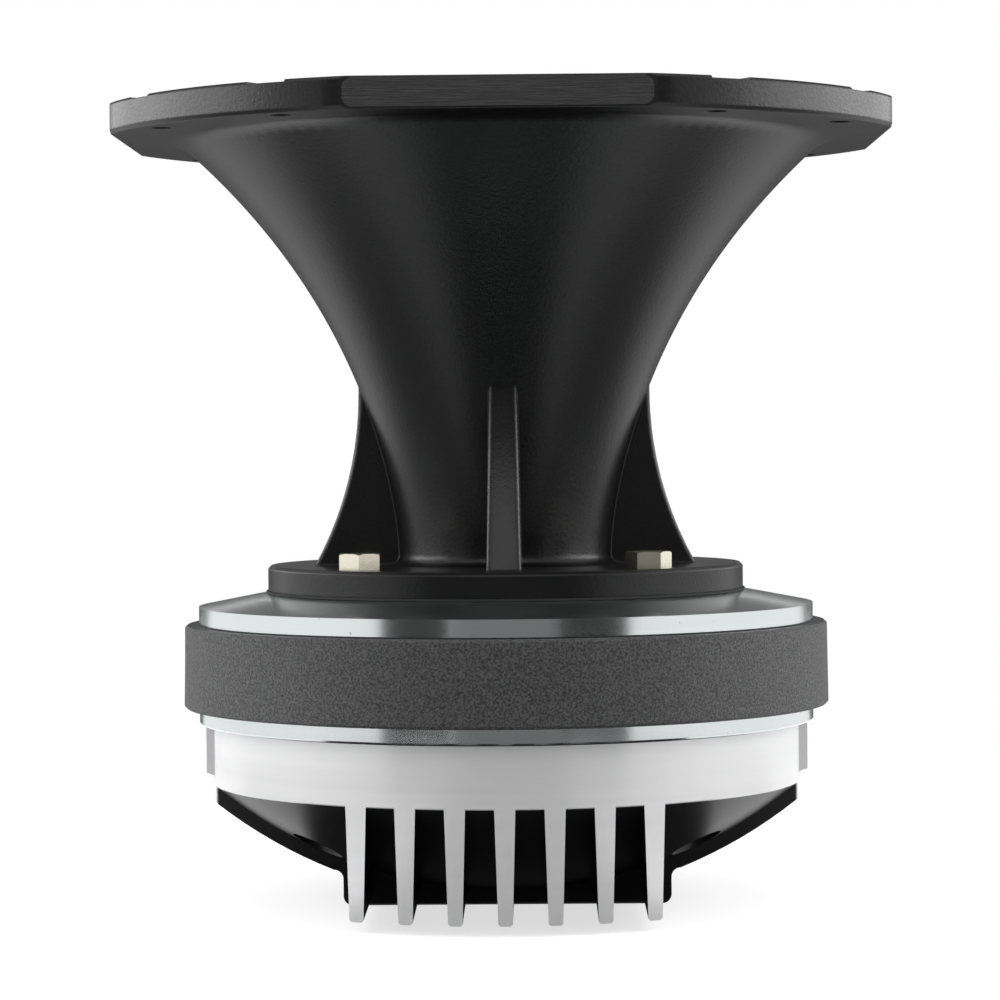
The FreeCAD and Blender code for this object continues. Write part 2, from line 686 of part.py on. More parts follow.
def make_diaphragm():
    foil, coil = SIZE["foil_thickness"], SIZE["coil_radius"]
    sphere, back = SIZE["dome_sphere"], SIZE["dome_sphere"] + SIZE["foil_thickness"]
    turned("diaphragm_dome", [
        (ZERO, SPHERE_Z - back, Arc(back, True)),
        (FORMER_RADIUS, SPHERE_Z - half_chord(back, FORMER_RADIUS)), (FORMER_RADIUS, FACE_Z),
        (coil, FACE_Z, Arc(sphere, False)), (ZERO, SPHERE_Z - sphere)])
    start = FORMER_RADIUS + SIZE["surround_flat"]
    middle, end = start + SIZE["roll_width"] / 2, start + SIZE["roll_width"]
    roll = SIZE["roll_radius"]
    inner = half_chord(roll - foil, half_chord(roll, SIZE["roll_width"] / 2) - foil)
    clamp = SIZE["clamp_ring_radius"]
    surround = turned("diaphragm_surround", [
        (FORMER_RADIUS, CLAMP_Z), (start, CLAMP_Z, Arc(roll, True)), (end, CLAMP_Z),
        (clamp, CLAMP_Z), (clamp, FACE_Z), (middle + inner, FACE_Z, Arc(roll - foil, False)),
        (middle - inner, FACE_Z), (FORMER_RADIUS, FACE_Z)])
    ring = turned("diaphragm_ring", [(end, RING_Z), (clamp, RING_Z), (clamp, CLAMP_Z),
                                     (end, CLAMP_Z)])
    for body, level, depth in ((surround, FACE_Z, foil),
                               (ring, CLAMP_Z, SIZE["clamp_ring_height"])):
        drill(body, body.Label + "_screw_holes", CLAMP_SCREWS, SMALL_HOLE, level, depth)
        drill(body, body.Label + "_pin_holes", CLAMP_PINS, SIZE["pin_radius"] + 0.05, level, depth)
    turned("coil_former", [(coil, FACE_Z), (FORMER_RADIUS, FACE_Z),
                           (FORMER_RADIUS, FACE_Z + SIZE["former_height"]),
                           (coil, FACE_Z + SIZE["former_height"])])
    low = (FACE_Z + GAP_TOP_Z - SIZE["coil_height"]) / 2
    turned("voice_coil", [(FORMER_RADIUS, low), (COIL_RADIUS, low),
                          (COIL_RADIUS, low + SIZE["coil_height"]),
                          (FORMER_RADIUS, low + SIZE["coil_height"])])


# Fasteners.

def hexagon(across, along, flats):
    """Corners of a hexagon with two flats parallel to the front."""
    reach = flats / math.sqrt(3)
    return [(across + reach * cosine(as_size(angle)), along + reach * sine(as_size(angle)))
            for angle in range(0, 360, 60)]


def fasteners(label, centres, head, shank, plane="XY_Plane", reverse=False):
    """Adds like fasteners as cylinders; head and shank are (radius, level, length)."""
    body = new_body(label)
    body.AllowCompound = True
    for name, (radius, level, length) in (("head", head), ("shank", shank)):
        if length is ZERO:
            continue
        sketch = new_sketch(body, "%s_%s_sketch" % (label, name), plane, level)
        for across, up in centres:
            draw_circle(sketch, across, up, radius)
        pad = body.newObject("PartDesign::Pad", "%s_%s" % (label, name))
        pad.Profile = sketch
        pad.Reversed = reverse
        pad.Length = length.number
        pad.setExpression("Length", length.formula)
    return body


def make_cover_screws():
    seat, head = SIZE["counterbore_seat"], SIZE["cap_head_height"]
    low = seat - head
    body = fasteners("cover_screws", COVER_SCREWS, (SIZE["cap_head_radius"], low, head),
                     (SIZE["bolt_radius"], seat, GAP_TOP_Z - 1.2 - seat))
    sketch = new_sketch(body, "hex_sockets_sketch", "XY_Plane", low)
    for across, along in COVER_SCREWS:
        draw_outline(sketch, hexagon(across, along, SIZE["cap_head_radius"]))
    pocket = body.newObject("PartDesign::Pocket", "hex_sockets")
    pocket.Profile = sketch
    pocket.Reversed = True
    pocket.Length = (head / 2).number
    pocket.setExpression("Length", (head / 2).formula)


def make_clamp_fasteners():
    head = SIZE["small_head_height"]
    reach = SIZE["small_screw_length"] - SIZE["screw_end_gap"]
    fasteners("diaphragm_screws", CLAMP_SCREWS, (SIZE["small_head_radius"], RING_Z - head, head),
              (SIZE["small_screw_radius"], RING_Z, FACE_Z - RING_Z + reach))
    fasteners("locating_pins", CLAMP_PINS, (SIZE["pin_radius"], ZERO, ZERO),
              (SIZE["pin_radius"], RING_Z, FACE_Z - RING_Z + SIZE["pin_depth"]))


def hex_bolt(across, along, turn):
    """A hexagon-head bolt through the horn's base, its corners softened by a cone."""
    reach = value("hex_flats") / math.sqrt(3)
    height, seat = value("hex_head_height"), BASE_TOP_Z.number
    corners = [vector(reach * math.cos(math.radians(turn + angle)),
                      reach * math.sin(math.radians(turn + angle)), seat)
               for angle in range(0, 361, 60)]
    head = Part.Face(Part.makePolygon(corners)).extrude(vector(0, 0, height))
    cone_height = value("hex_flats")
    cone = Part.makeCone(value("hex_flats") / 2 + cone_height * math.sqrt(3),
                         value("hex_flats") / 2, cone_height,
                         vector(0, 0, seat + height - cone_height + 0.1))
    shank_end = MAGNET_TOP_Z.number + 1.1
    shank = Part.makeCylinder(value("bolt_radius"), seat - shank_end, vector(0, 0, shank_end))
    bolt = head.common(cone).fuse(shank).removeSplitter()
    bolt.translate(vector(across, along, 0))
    return bolt


def make_flange_bolts():
    bolts = []
    for (across, along), turn in zip(HORN_BOLTS, (10, 40, 30, 0)):
        bolts.append(hex_bolt(across.number, along.number, turn))
    solid_feature("flange_bolts", Part.makeCompound(bolts))


# Terminals: a block in the cover's side with two blades and the strips to the coil.

def flat_strip(label, outline, level, thickness):
    body = new_body(label)
    sketch = new_sketch(body, label + "_sketch", "XY_Plane", level)
    draw_outline(sketch, outline)
    pad = body.newObject("PartDesign::Pad", label + "_pad")
    pad.Profile = sketch
    pad.Length = thickness.number
    pad.setExpression("Length", thickness.formula)
    return body


def strip_outline(across, half_width, start, end):
    return [(across - half_width, start), (across + half_width, start),
            (across + half_width, end), (across - half_width, end)]


def make_terminals():
    spacing, strip = SIZE["terminal_spacing"] / 2, SIZE["strip_thickness"]
    blade = SIZE["blade_width"] / 2
    tail = TERMINAL_FACE_Y - SIZE["terminal_plug_depth"] - SIZE["blade_tail"]
    bevel = SIZE["blade_width"] / 6
    for side, across in (("positive", spacing), ("negative", -spacing)):
        flat_strip("lead_strip_" + side,
                   strip_outline(across, SIZE["strip_width"] / 2, SIZE["chamber_radius"] + 1.5,
                                 tail + SIZE["strip_overlap"]), RING_Z - strip, strip)
        end = SIZE["blade_reach"]
        body = flat_strip("terminal_blade_" + side, [
            (across - blade, tail), (across + blade, tail), (across + blade, end - bevel),
            (across + blade - bevel, end), (across - blade + bevel, end),
            (across - blade, end - bevel)], RING_Z, SIZE["blade_thickness"])
        drill(body, "blade_hole_" + side, [(across, end - blade)], bevel,
              RING_Z + SIZE["blade_thickness"], SIZE["blade_thickness"])
    block = new_body("terminal_block")
    flange, rim = SIZE["terminal_width"] / 2, SIZE["terminal_rim"]
    play = SIZE["terminal_window_play"]
    for name, corners, depth, reverse in (
            ("block_flange", rectangle(flange, WINDOW_LOW - rim, WINDOW_HIGH + rim),
             SIZE["terminal_flange"], True),
            ("block_plug", rectangle(WINDOW_HALF - play, WINDOW_LOW + play / 3,
                                     WINDOW_HIGH - play / 3),
             SIZE["terminal_plug_depth"], False)):
        sketch = new_sketch(block, name + "_sketch", "XZ_Plane", -TERMINAL_FACE_Y)
        draw_outline(sketch, corners)
        pad = block.newObject("PartDesign::Pad", name)
        pad.Profile = sketch
        pad.Reversed = reverse
        pad.Length = depth.number
        pad.setExpression("Length", depth.formula)
    face = TERMINAL_FACE_Y + SIZE["terminal_flange"]
    play = SIZE["terminal_play"]
    for side, across in (("positive", spacing), ("negative", -spacing)):
        low, high = RING_Z - play, RING_Z + SIZE["blade_thickness"] + play
        half = blade + play
        box_pocket(block, "blade_slot_" + side, "XZ_Plane", -face,
                   [(across - half, low), (across + half, low), (across + half, high),
                    (across - half, high)],
                   SIZE["terminal_flange"] + SIZE["terminal_plug_depth"], True)
    drill(block, "block_screw_holes", TERMINAL_SCREWS, SMALL_HOLE, -face,
          SIZE["terminal_flange"], True, "XZ_Plane")
    head = SIZE["small_head_height"] * 0.8
    reach = SIZE["terminal_flange"] + SIZE["small_screw_length"] - SIZE["screw_end_gap"]
    screws = fasteners("terminal_screws", TERMINAL_SCREWS,
                       (SIZE["small_head_radius"] * 0.9, -face, head),
                       (SIZE["small_screw_radius"], -face - head / 2, reach + head / 2),
                       "XZ_Plane")
    screws.getObject("terminal_screws_head").Reversed = True


# Gaskets and damping.

def make_soft_pieces():
    edge = SIZE["gasket_overhang"]
    turned("cover_gasket", [
        (SIZE["spigot_radius"] + edge, JOINT_Z), (SIZE["cover_radius"] - edge, JOINT_Z),
        (SIZE["cover_radius"] - edge, GASKET_TOP_Z),
        (SIZE["spigot_radius"] + edge, GASKET_TOP_Z)])
    bore, rim = SIZE["throat_radius"] + edge, SIZE["horn_base_radius"] + edge
    gasket = turned("throat_gasket", [(bore, BACK_TOP_Z), (rim, BACK_TOP_Z), (rim, HORN_Z),
                                      (bore, HORN_Z)])
    drill(gasket, "gasket_holes", HORN_BOLTS, SCREW_HOLE, HORN_Z, SIZE["gasket_thickness"])
    floor = SIZE["chamber_floor"]
    rim = SIZE["chamber_radius"] - CHAMBER_CORNER - 0.1
    top = floor + SIZE["damping_thickness"]
    turned("damping_pad", [(ZERO, floor), (rim, floor), (rim, top), (ZERO, top)])


# Horn: a one-piece casting with a round base, four ribs, an exponential bell and a flange.

def bell_radius(rise):
    """Outer radius of the bell: exponential, eased in above its foot."""
    length, ease = value("bell_length"), value("bell_ease")
    share = (rise * rise / (rise + ease)) / (length * length / (length + ease))
    neck = value("throat_radius") + value("bell_wall")
    return neck * (value("bell_mouth_radius") / neck) ** share


def bell_curve(inset, rise_start, rise_end):
    """A smooth curve along the bell, moved inwards square to the outer face."""
    points = []
    for number in range(BELL_STEPS + 1):
        rise = rise_start + (rise_end - rise_start) * number / BELL_STEPS
        slope = (bell_radius(rise + SLOPE_STEP) - bell_radius(rise)) / SLOPE_STEP
        angle = math.atan(slope)
        points.append(vector(bell_radius(rise) - inset * math.cos(angle), 0,
                             BASE_TOP_Z.number + rise + inset * math.sin(angle)))
    curve = Part.BSplineCurve()
    curve.interpolate(points)
    return curve.toShape(), points[0], points[-1]


def turned_solid(edges):
    """Turns a closed outline of edges about the axis."""
    wire = Part.Wire(Part.__sortEdges__(edges))
    return Part.Face(wire).revolve(vector(0, 0, 0), vector(0, 0, 1), 360)


def joined_lines(points):
    return Part.makePolygon([vector(across, 0, up) for across, up in points]).Edges


def blended_corner(start, corner, end):
    """A curve from start to end that is tangent to both sides of a corner."""
    curve = Part.BezierCurve()
    curve.setPoles([start, corner, end])
    return curve.toShape()


def horn_mass():
    """The horn's outside, still without its bore."""
    base, flange = value("horn_base_radius"), value("flange_radius")
    low, shelf, top = HORN_Z.number, BASE_TOP_Z.number, LAND_Z.number
    under = FLANGE_Z.number
    length, round_off = value("bell_length"), value("bell_fillet")
    curve, foot, mouth = bell_curve(0, round_off, length - round_off)
    foot_edge = vector(bell_radius(0) + round_off, 0, shelf)
    mouth_edge = vector(bell_radius(length) + round_off, 0, under)
    rim_low, rim_high = value("flange_bevel"), value("land_height")
    edges = joined_lines([(foot_edge.x, shelf), (base - BASE_BEVEL, shelf),
                          (base, shelf - BASE_BEVEL), (base, low), (0, low), (0, top),
                          (flange - rim_high, top), (flange, top - rim_high),
                          (flange, under + rim_low), (flange - rim_low, under),
                          (mouth_edge.x, under)])
    edges += [curve, blended_corner(foot_edge, vector(bell_radius(0), 0, shelf), foot),
              blended_corner(mouth, vector(bell_radius(length), 0, under), mouth_edge)]
    return turned_solid(edges)


def horn_bore():
    """The air path through the horn, with a rounded lip at its mouth."""
    wall = value("bell_wall")
    curve, foot, mouth = bell_curve(wall, 0, value("bell_length") + wall / 3)
    top = LAND_Z.number
    lip = mouth.x + (top - mouth.z) * 1.45
    edge = Part.Arc(mouth, vector(mouth.x + (top - mouth.z) * 0.62, 0,
                                  mouth.z + (top - mouth.z) * 0.6),
                    vector(lip, 0, top)).toShape()
    clear = 1
    edges = joined_lines([(lip, top), (lip, top + clear), (0, top + clear),
                          (0, HORN_Z.number - clear), (foot.x, HORN_Z.number - clear),
                          (foot.x, foot.z)])
    return turned_solid(edges + [edge, curve])


def horn_rib(angle):
    """A rib with a hollow outer edge, thinner towards its top."""
    foot, top, height = value("rib_foot_radius"), value("rib_top_radius"), value("rib_height")
    floor = BASE_TOP_Z.number - BASE_BEVEL
    shelf = BASE_TOP_Z.number
    reach = foot - top
    radius = (height * height + reach * reach) / (2 * reach)
    middle = math.atan2(height, radius - reach) / 2
    bow = vector(top + radius - radius * math.cos(middle), 0,
                 shelf + height - radius * math.sin(middle))
    end = shelf + height + reach / 2
    inside = value("throat_radius") / 2
    edges = joined_lines([(top, shelf + height), (top, end), (inside, end), (inside, floor),
                          (foot, floor), (foot, shelf)])
    edges.append(Part.Arc(vector(foot, 0, shelf), bow, vector(top, 0, shelf + height)).toShape())
    half_low, half_high = value("rib_foot_width") / 2, value("rib_top_width") / 2
    wide = half_low * 2
    side = Part.Face(Part.Wire(Part.__sortEdges__(edges)))
    side.translate(vector(0, -wide, 0))
    plate = side.extrude(vector(0, 2 * wide, 0))
    front = Part.makePolygon([vector(0, -half_low, floor), vector(0, half_low, floor),
                              vector(0, half_high, end), vector(0, -half_high, end),
                              vector(0, -half_low, floor)])
    wedge = Part.Face(front).extrude(vector(foot * 2, 0, 0))
    rib = plate.common(wedge)
    outer_edges = [edge for edge in rib.Edges
                   if edge.CenterOfMass.x > top and edge.CenterOfMass.z > shelf + reach
                   and edge.BoundBox.ZLength > reach]
    rib = rib.makeFillet(value("rib_rounding"), outer_edges)
    rib.rotate(vector(0, 0, 0), vector(0, 0, 1), angle)
    return rib


def flange_relief(angle):
    """The milled step around one hole of the flange, open to the rim, with the hole."""
    circle, half = value("flange_hole_circle"), value("relief_width") / 2
    start = value("flange_radius") - value("relief_length") + half
    level = FLANGE_TOP_Z.number
    slot = Part.makeBox(value("flange_radius"), 2 * half, half, vector(start, -half, level))
    slot = slot.fuse(Part.makeCylinder(half, half, vector(start, 0, level)))
    hole = Part.makeCylinder(value("flange_hole_radius"), value("flange_thickness") * 2,
                             vector(circle, 0, FLANGE_Z.number - half))
    cut = slot.fuse(hole)
    cut.rotate(vector(0, 0, 0), vector(0, 0, 1), angle)
    return cut


def flat_cut(distance, angle):
    """The waste beyond one flat of the flange."""
    size = value("flange_radius")
    waste = Part.makeBox(size, 4 * size, value("flange_thickness") * 4,
                         vector(distance, -2 * size, FLANGE_Z.number - value("flange_thickness")))
    waste.rotate(vector(0, 0, 0), vector(0, 0, 1), angle)
    return waste


def make_horn():
    horn = horn_mass()
    for angle in QUARTERS:
        horn = horn.fuse(horn_rib(angle))
    horn = horn.cut(horn_bore())
    side = value("flange_hole_angle")
    cuts = [flat_cut(value("flat_distance"), angle) for angle in QUARTERS]
    cuts += [flange_relief(angle + turn) for angle in QUARTERS for turn in (side, -side)]
    base_depth = value("horn_base_thickness") * 2
    cuts += [Part.makeCylinder(SCREW_HOLE.number, base_depth,
                               vector(across.number, along.number, HORN_Z.number - 1))
             for across, along in HORN_BOLTS]
    for cut in cuts:
        horn = horn.cut(cut)
    solid_feature("horn", horn.removeSplitter())


def check_and_write():
    """Stops on a failed object, then writes one file for each piece."""
    doc.recompute()
    for item in doc.Objects:
        if "Invalid" in item.State or "Error" in item.State:
            raise RuntimeError("%s failed: %s" % (item.Name, item.State))
    os.makedirs("parts", exist_ok=True)
    pieces = [item for item in doc.Objects
              if item.TypeId in ("PartDesign::Body", "Part::Feature")]
    for piece in pieces:
        if piece.Shape.isNull() or not piece.Shape.isValid():
            raise RuntimeError("%s has no sound shape" % piece.Label)
        piece.Shape.exportStep("parts/%s.step" % piece.Label)
        print(piece.Label, len(piece.Shape.Solids), round(piece.Shape.Volume, 1))


make_rear_cover()
make_gap_plate()
make_magnet()
make_back_plate()
make_pole_piece()
make_phase_plug()
make_diaphragm()
make_cover_screws()
make_clamp_fasteners()
make_flange_bolts()
make_terminals()
make_soft_pieces()
make_horn()
check_and_write()
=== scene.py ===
"""Compression driver on its round exponential horn, dressed and lit for a picture.

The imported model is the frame, in metres, with +Z up along the horn's axis and -Y towards the
camera. Each class below owns one sub-assembly: it holds the sizes that the dressing needs,
builds what the frame leaves out and gives every piece its finish.
"""

import json
import logging
import math
from collections.abc import Callable
from dataclasses import dataclass
from enum import Enum

import bmesh
import bpy
import numpy as np
from mathutils import Matrix, Vector


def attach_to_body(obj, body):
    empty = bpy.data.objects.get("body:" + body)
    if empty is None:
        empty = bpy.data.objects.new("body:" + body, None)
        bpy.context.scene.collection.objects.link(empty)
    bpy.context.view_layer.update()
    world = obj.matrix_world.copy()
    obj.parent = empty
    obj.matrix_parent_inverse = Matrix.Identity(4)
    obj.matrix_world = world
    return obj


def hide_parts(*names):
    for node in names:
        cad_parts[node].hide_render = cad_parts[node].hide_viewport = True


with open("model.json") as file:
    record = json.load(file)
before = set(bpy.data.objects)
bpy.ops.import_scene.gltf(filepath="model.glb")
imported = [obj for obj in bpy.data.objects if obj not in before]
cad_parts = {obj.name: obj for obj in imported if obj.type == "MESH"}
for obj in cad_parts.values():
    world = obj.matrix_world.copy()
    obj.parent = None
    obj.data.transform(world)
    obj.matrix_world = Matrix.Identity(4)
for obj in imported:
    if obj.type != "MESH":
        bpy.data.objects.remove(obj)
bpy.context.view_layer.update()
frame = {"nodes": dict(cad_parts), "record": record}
LOG = logging.getLogger("driver_scene")
Colour = tuple[float, float, float]
CAST_ANGLE = 28.0
MACHINED_ANGLE = 14.0
WELD = 1e-6
SKIN_STEPS = 4
MACHINED = {"flange_bolts", "cover_screws", "back_plate", "gap_plate", "magnet_ring"}


class Ray(Enum):
    """Kinds of ray that see the white surround as it is."""

    CAMERA = "Is Camera Ray"
    GLOSSY = "Is Glossy Ray"
    TRANSMISSION = "Is Transmission Ray"


class NodePen:
    """Places and joins shader nodes in one tree."""

    def __init__(self, tree: bpy.types.NodeTree) -> None:
        """Keeps the tree that the nodes go in.

        Args:
            tree: The material's, world's or group's node tree.
        """
        self.tree = tree

    def put(self, kind: str, **inputs) -> bpy.types.Node:
        """Adds a node and sets or links its inputs.

        Args:
            kind: The node's type name.
            **inputs: Socket names, with underscores for spaces, and their values or sources.

        Returns:
            The new node.
        """
        node = self.tree.nodes.new(kind)
        for name, given in inputs.items():
            self.set(node, name.replace("_", " "), given)
        return node

    def set(self, node: bpy.types.Node, name: str | int, given) -> None:
        """Sets one input to a value, or links it from another node's output.

        Args:
            node: The node that owns the input.
            name: The input's name or index.
            given: A plain value, or an output socket.
        """
        if isinstance(given, bpy.types.NodeSocket):
            self.tree.links.new(given, node.inputs[name])
        else:
            node.inputs[name].default_value = given

    def math(self, operation: str, *values, clamp: bool = False) -> bpy.types.NodeSocket:
        """Adds a Math node.

        Args:
            operation: The operation's name.
            *values: Numbers or sockets, in order.
            clamp: Whether the result is kept between 0 and 1.

        Returns:
            The result's socket.
        """
        node = self.tree.nodes.new("ShaderNodeMath")
        node.operation = operation
        node.use_clamp = clamp
        for index, given in enumerate(values):
            self.set(node, index, given)
        return node.outputs[0]

    def vector(self, operation: str, *values) -> bpy.types.Node:
        """Adds a Vector Math node.

        Args:
            operation: The operation's name.
            *values: Vectors or sockets, in order.

        Returns:
            The node.
        """
        node = self.tree.nodes.new("ShaderNodeVectorMath")
        node.operation = operation
        for index, given in enumerate(values):
            self.set(node, index, given)
        return node

    def step(self, given, low: float, high: float) -> bpy.types.NodeSocket:
        """Adds a smooth step from 0 at low to 1 at high.

        Args:
            given: The socket that is measured.
            low: The value that gives 0.
            high: The value that gives 1.

        Returns:
            The result's socket.
        """
        node = self.put("ShaderNodeMapRange", Value=given)
        node.interpolation_type = "SMOOTHSTEP"
        node.inputs["From Min"].default_value = low
        node.inputs["From Max"].default_value = high
        return node.outputs["Result"]

    def blend(self, share, first, second) -> bpy.types.NodeSocket:
        """Adds a colour mix.

        Args:
            share: How much of the second colour shows.
            first: The first colour or socket.
            second: The second colour or socket.

        Returns:
            The mixed colour's socket.
        """
        node = self.tree.nodes.new("ShaderNodeMix")
        node.data_type = "RGBA"
        for index, given in ((0, share), (6, first), (7, second)):
            self.set(node, index, rgba(given) if isinstance(given, tuple) else given)
        return node.outputs[2]


def rgba(colour: Colour) -> tuple[float, float, float, float]:
    """Adds full opacity to a colour."""
    return (*colour, 1.0)


class SharedEffects:
    """Shader node groups that more than one finish uses, each built once."""

    def __init__(self) -> None:
        """Builds the groups."""
        self.grain = self._grain()
        self.turned = self._turned()
        self.edges = self._edges()

    @staticmethod
    def _group(name: str, inputs: dict[str, float], outputs: tuple[str, ...]) -> tuple:
        """Makes an empty group.

        Args:
            name: The group's name.
            inputs: Names and default values of the float inputs.
            outputs: Names of the float outputs.

        Returns:
            The group, its pen, and its input and output nodes.
        """
        group = bpy.data.node_groups.new(name, "ShaderNodeTree")
        for socket, value in inputs.items():
            made = group.interface.new_socket(socket, in_out="INPUT", socket_type="NodeSocketFloat")
            made.default_value = value
        for socket in outputs:
            group.interface.new_socket(socket, in_out="OUTPUT", socket_type="NodeSocketFloat")
        pen = NodePen(group)
        return group, pen, pen.put("NodeGroupInput"), pen.put("NodeGroupOutput")

    def _grain(self) -> bpy.types.NodeTree:
        """Builds fine even grain with sparse larger specks.

        Returns:
            The group, with a height and a speck mask.
        """
        group, pen, given, out = self._group(
            "fine_grain", {"Scale": 900.0, "Speck Scale": 700.0, "Speck Share": 0.3},
            ("Height", "Specks"))
        place = pen.put("ShaderNodeTexCoord").outputs["Object"]
        noise = pen.put("ShaderNodeTexNoise", Vector=place, Scale=given.outputs["Scale"],
                        Detail=3.0, Roughness=0.6)
        cells = pen.put("ShaderNodeTexNoise", Vector=place, Scale=given.outputs["Speck Scale"],
                        Detail=2.0, Roughness=0.75)
        edge = pen.math("SUBTRACT", 0.82, pen.math("MULTIPLY", given.outputs["Speck Share"], 0.5))
        mask = pen.math("MULTIPLY", pen.math("SUBTRACT", cells.outputs[0], edge), 9.0, clamp=True)
        pen.set(out, "Height", noise.outputs[0])
        pen.set(out, "Specks", mask)
        return group

    def _turned(self) -> bpy.types.NodeTree:
        """Builds the fine lines that a lathe leaves round the axis.

        Returns:
            The group, with a height and a slow shade from ring to ring.
        """
        group, pen, given, out = self._group(
            "turned_lines", {"Line Scale": 2600.0, "Broad Scale": 240.0}, ("Height", "Shade"))
        place = pen.put("ShaderNodeTexCoord").outputs["Object"]
        parts = pen.put("ShaderNodeSeparateXYZ", Vector=place)
        across = pen.math("SQRT", pen.math(
            "ADD", pen.math("MULTIPLY", parts.outputs[0], parts.outputs[0]),
            pen.math("MULTIPLY", parts.outputs[1], parts.outputs[1])))
        slow = pen.math("MULTIPLY", pen.math("ARCTAN2", parts.outputs[1], parts.outputs[0]), 0.002)
        line = pen.put("ShaderNodeCombineXYZ")
        for index, source in enumerate((across, slow, parts.outputs[2])):
            pen.set(line, index, source)
        fine = pen.put("ShaderNodeTexNoise", Vector=line.outputs[0],
                       Scale=given.outputs["Line Scale"], Detail=2.0)
        broad = pen.put("ShaderNodeTexNoise", Vector=line.outputs[0],
                        Scale=given.outputs["Broad Scale"], Detail=3.0)
        pen.set(out, "Height", fine.outputs[0])
        pen.set(out, "Shade", broad.outputs[0])
        return group

    def _edges(self) -> bpy.types.NodeTree:
        """Builds a mask of the edges, broken up by noise.

        Returns:
            The group, with one mask.
        """
        group, pen, given, out = self._group(
            "edge_mask", {"Width": 0.0006, "Strength": 6.0, "Break Scale": 260.0}, ("Mask",))
        rounded = pen.put("ShaderNodeBevel", Radius=given.outputs["Width"])
        rounded.samples = 6
        plain = pen.put("ShaderNodeNewGeometry").outputs["Normal"]
        turn = pen.math("SUBTRACT", 1.0,
                        pen.vector("DOT_PRODUCT", rounded.outputs[0], plain).outputs["Value"])
        place = pen.put("ShaderNodeTexCoord").outputs["Object"]
        breaks = pen.put("ShaderNodeTexNoise", Vector=place,
                         Scale=given.outputs["Break Scale"], Detail=3.0)
        strong = pen.math("MULTIPLY", turn, given.outputs["Strength"])
        pen.set(out, "Mask", pen.math("MULTIPLY", strong, breaks.outputs[0], clamp=True))
        return group


EFFECTS = SharedEffects()


def blank_material(name: str) -> tuple[bpy.types.Material, NodePen]:
    """Makes a material with no nodes.

    Args:
        name: The material's name.

    Returns:
        The material and its pen.
    """
    material = bpy.data.materials.new(name)
    material.use_nodes = True
    material.node_tree.nodes.clear()
    return material, NodePen(material.node_tree)


def start_material(name: str) -> tuple[bpy.types.Material, NodePen, bpy.types.Node]:
    """Makes a material with one Principled shader.

    Args:
        name: The material's name.

    Returns:
        The material, its pen and its shader node.
    """
    material, pen = blank_material(name)
    shader = pen.put("ShaderNodeBsdfPrincipled")
    pen.put("ShaderNodeOutputMaterial", Surface=shader.outputs[0])
    return material, pen, shader


def place_group(pen: NodePen, group: bpy.types.NodeTree, **inputs: float) -> bpy.types.Node:
    """Adds a shared effect with this finish's own values.

    Args:
        pen: The pen of the material.
        group: The shared effect.
        **inputs: The group's inputs, with underscores for spaces.

    Returns:
        The group node.
    """
    node = pen.put("ShaderNodeGroup")
    node.node_tree = group
    for name, given in inputs.items():
        pen.set(node, name.replace("_", " "), given)
    return node


def emboss(pen: NodePen, shader: bpy.types.Node, height, depth: float, base=None) -> None:
    """Feeds a height into the shader's normal.

    Args:
        pen: The pen of the material.
        shader: The Principled shader.
        height: The height's socket.
        depth: The relief's depth in metres.
        base: The normal that the relief stands on, if any.
    """
    bump = pen.put("ShaderNodeBump", Height=height, Distance=depth)
    if base is not None:
        pen.set(bump, "Normal", base)
    pen.set(shader, "Normal", bump.outputs[0])


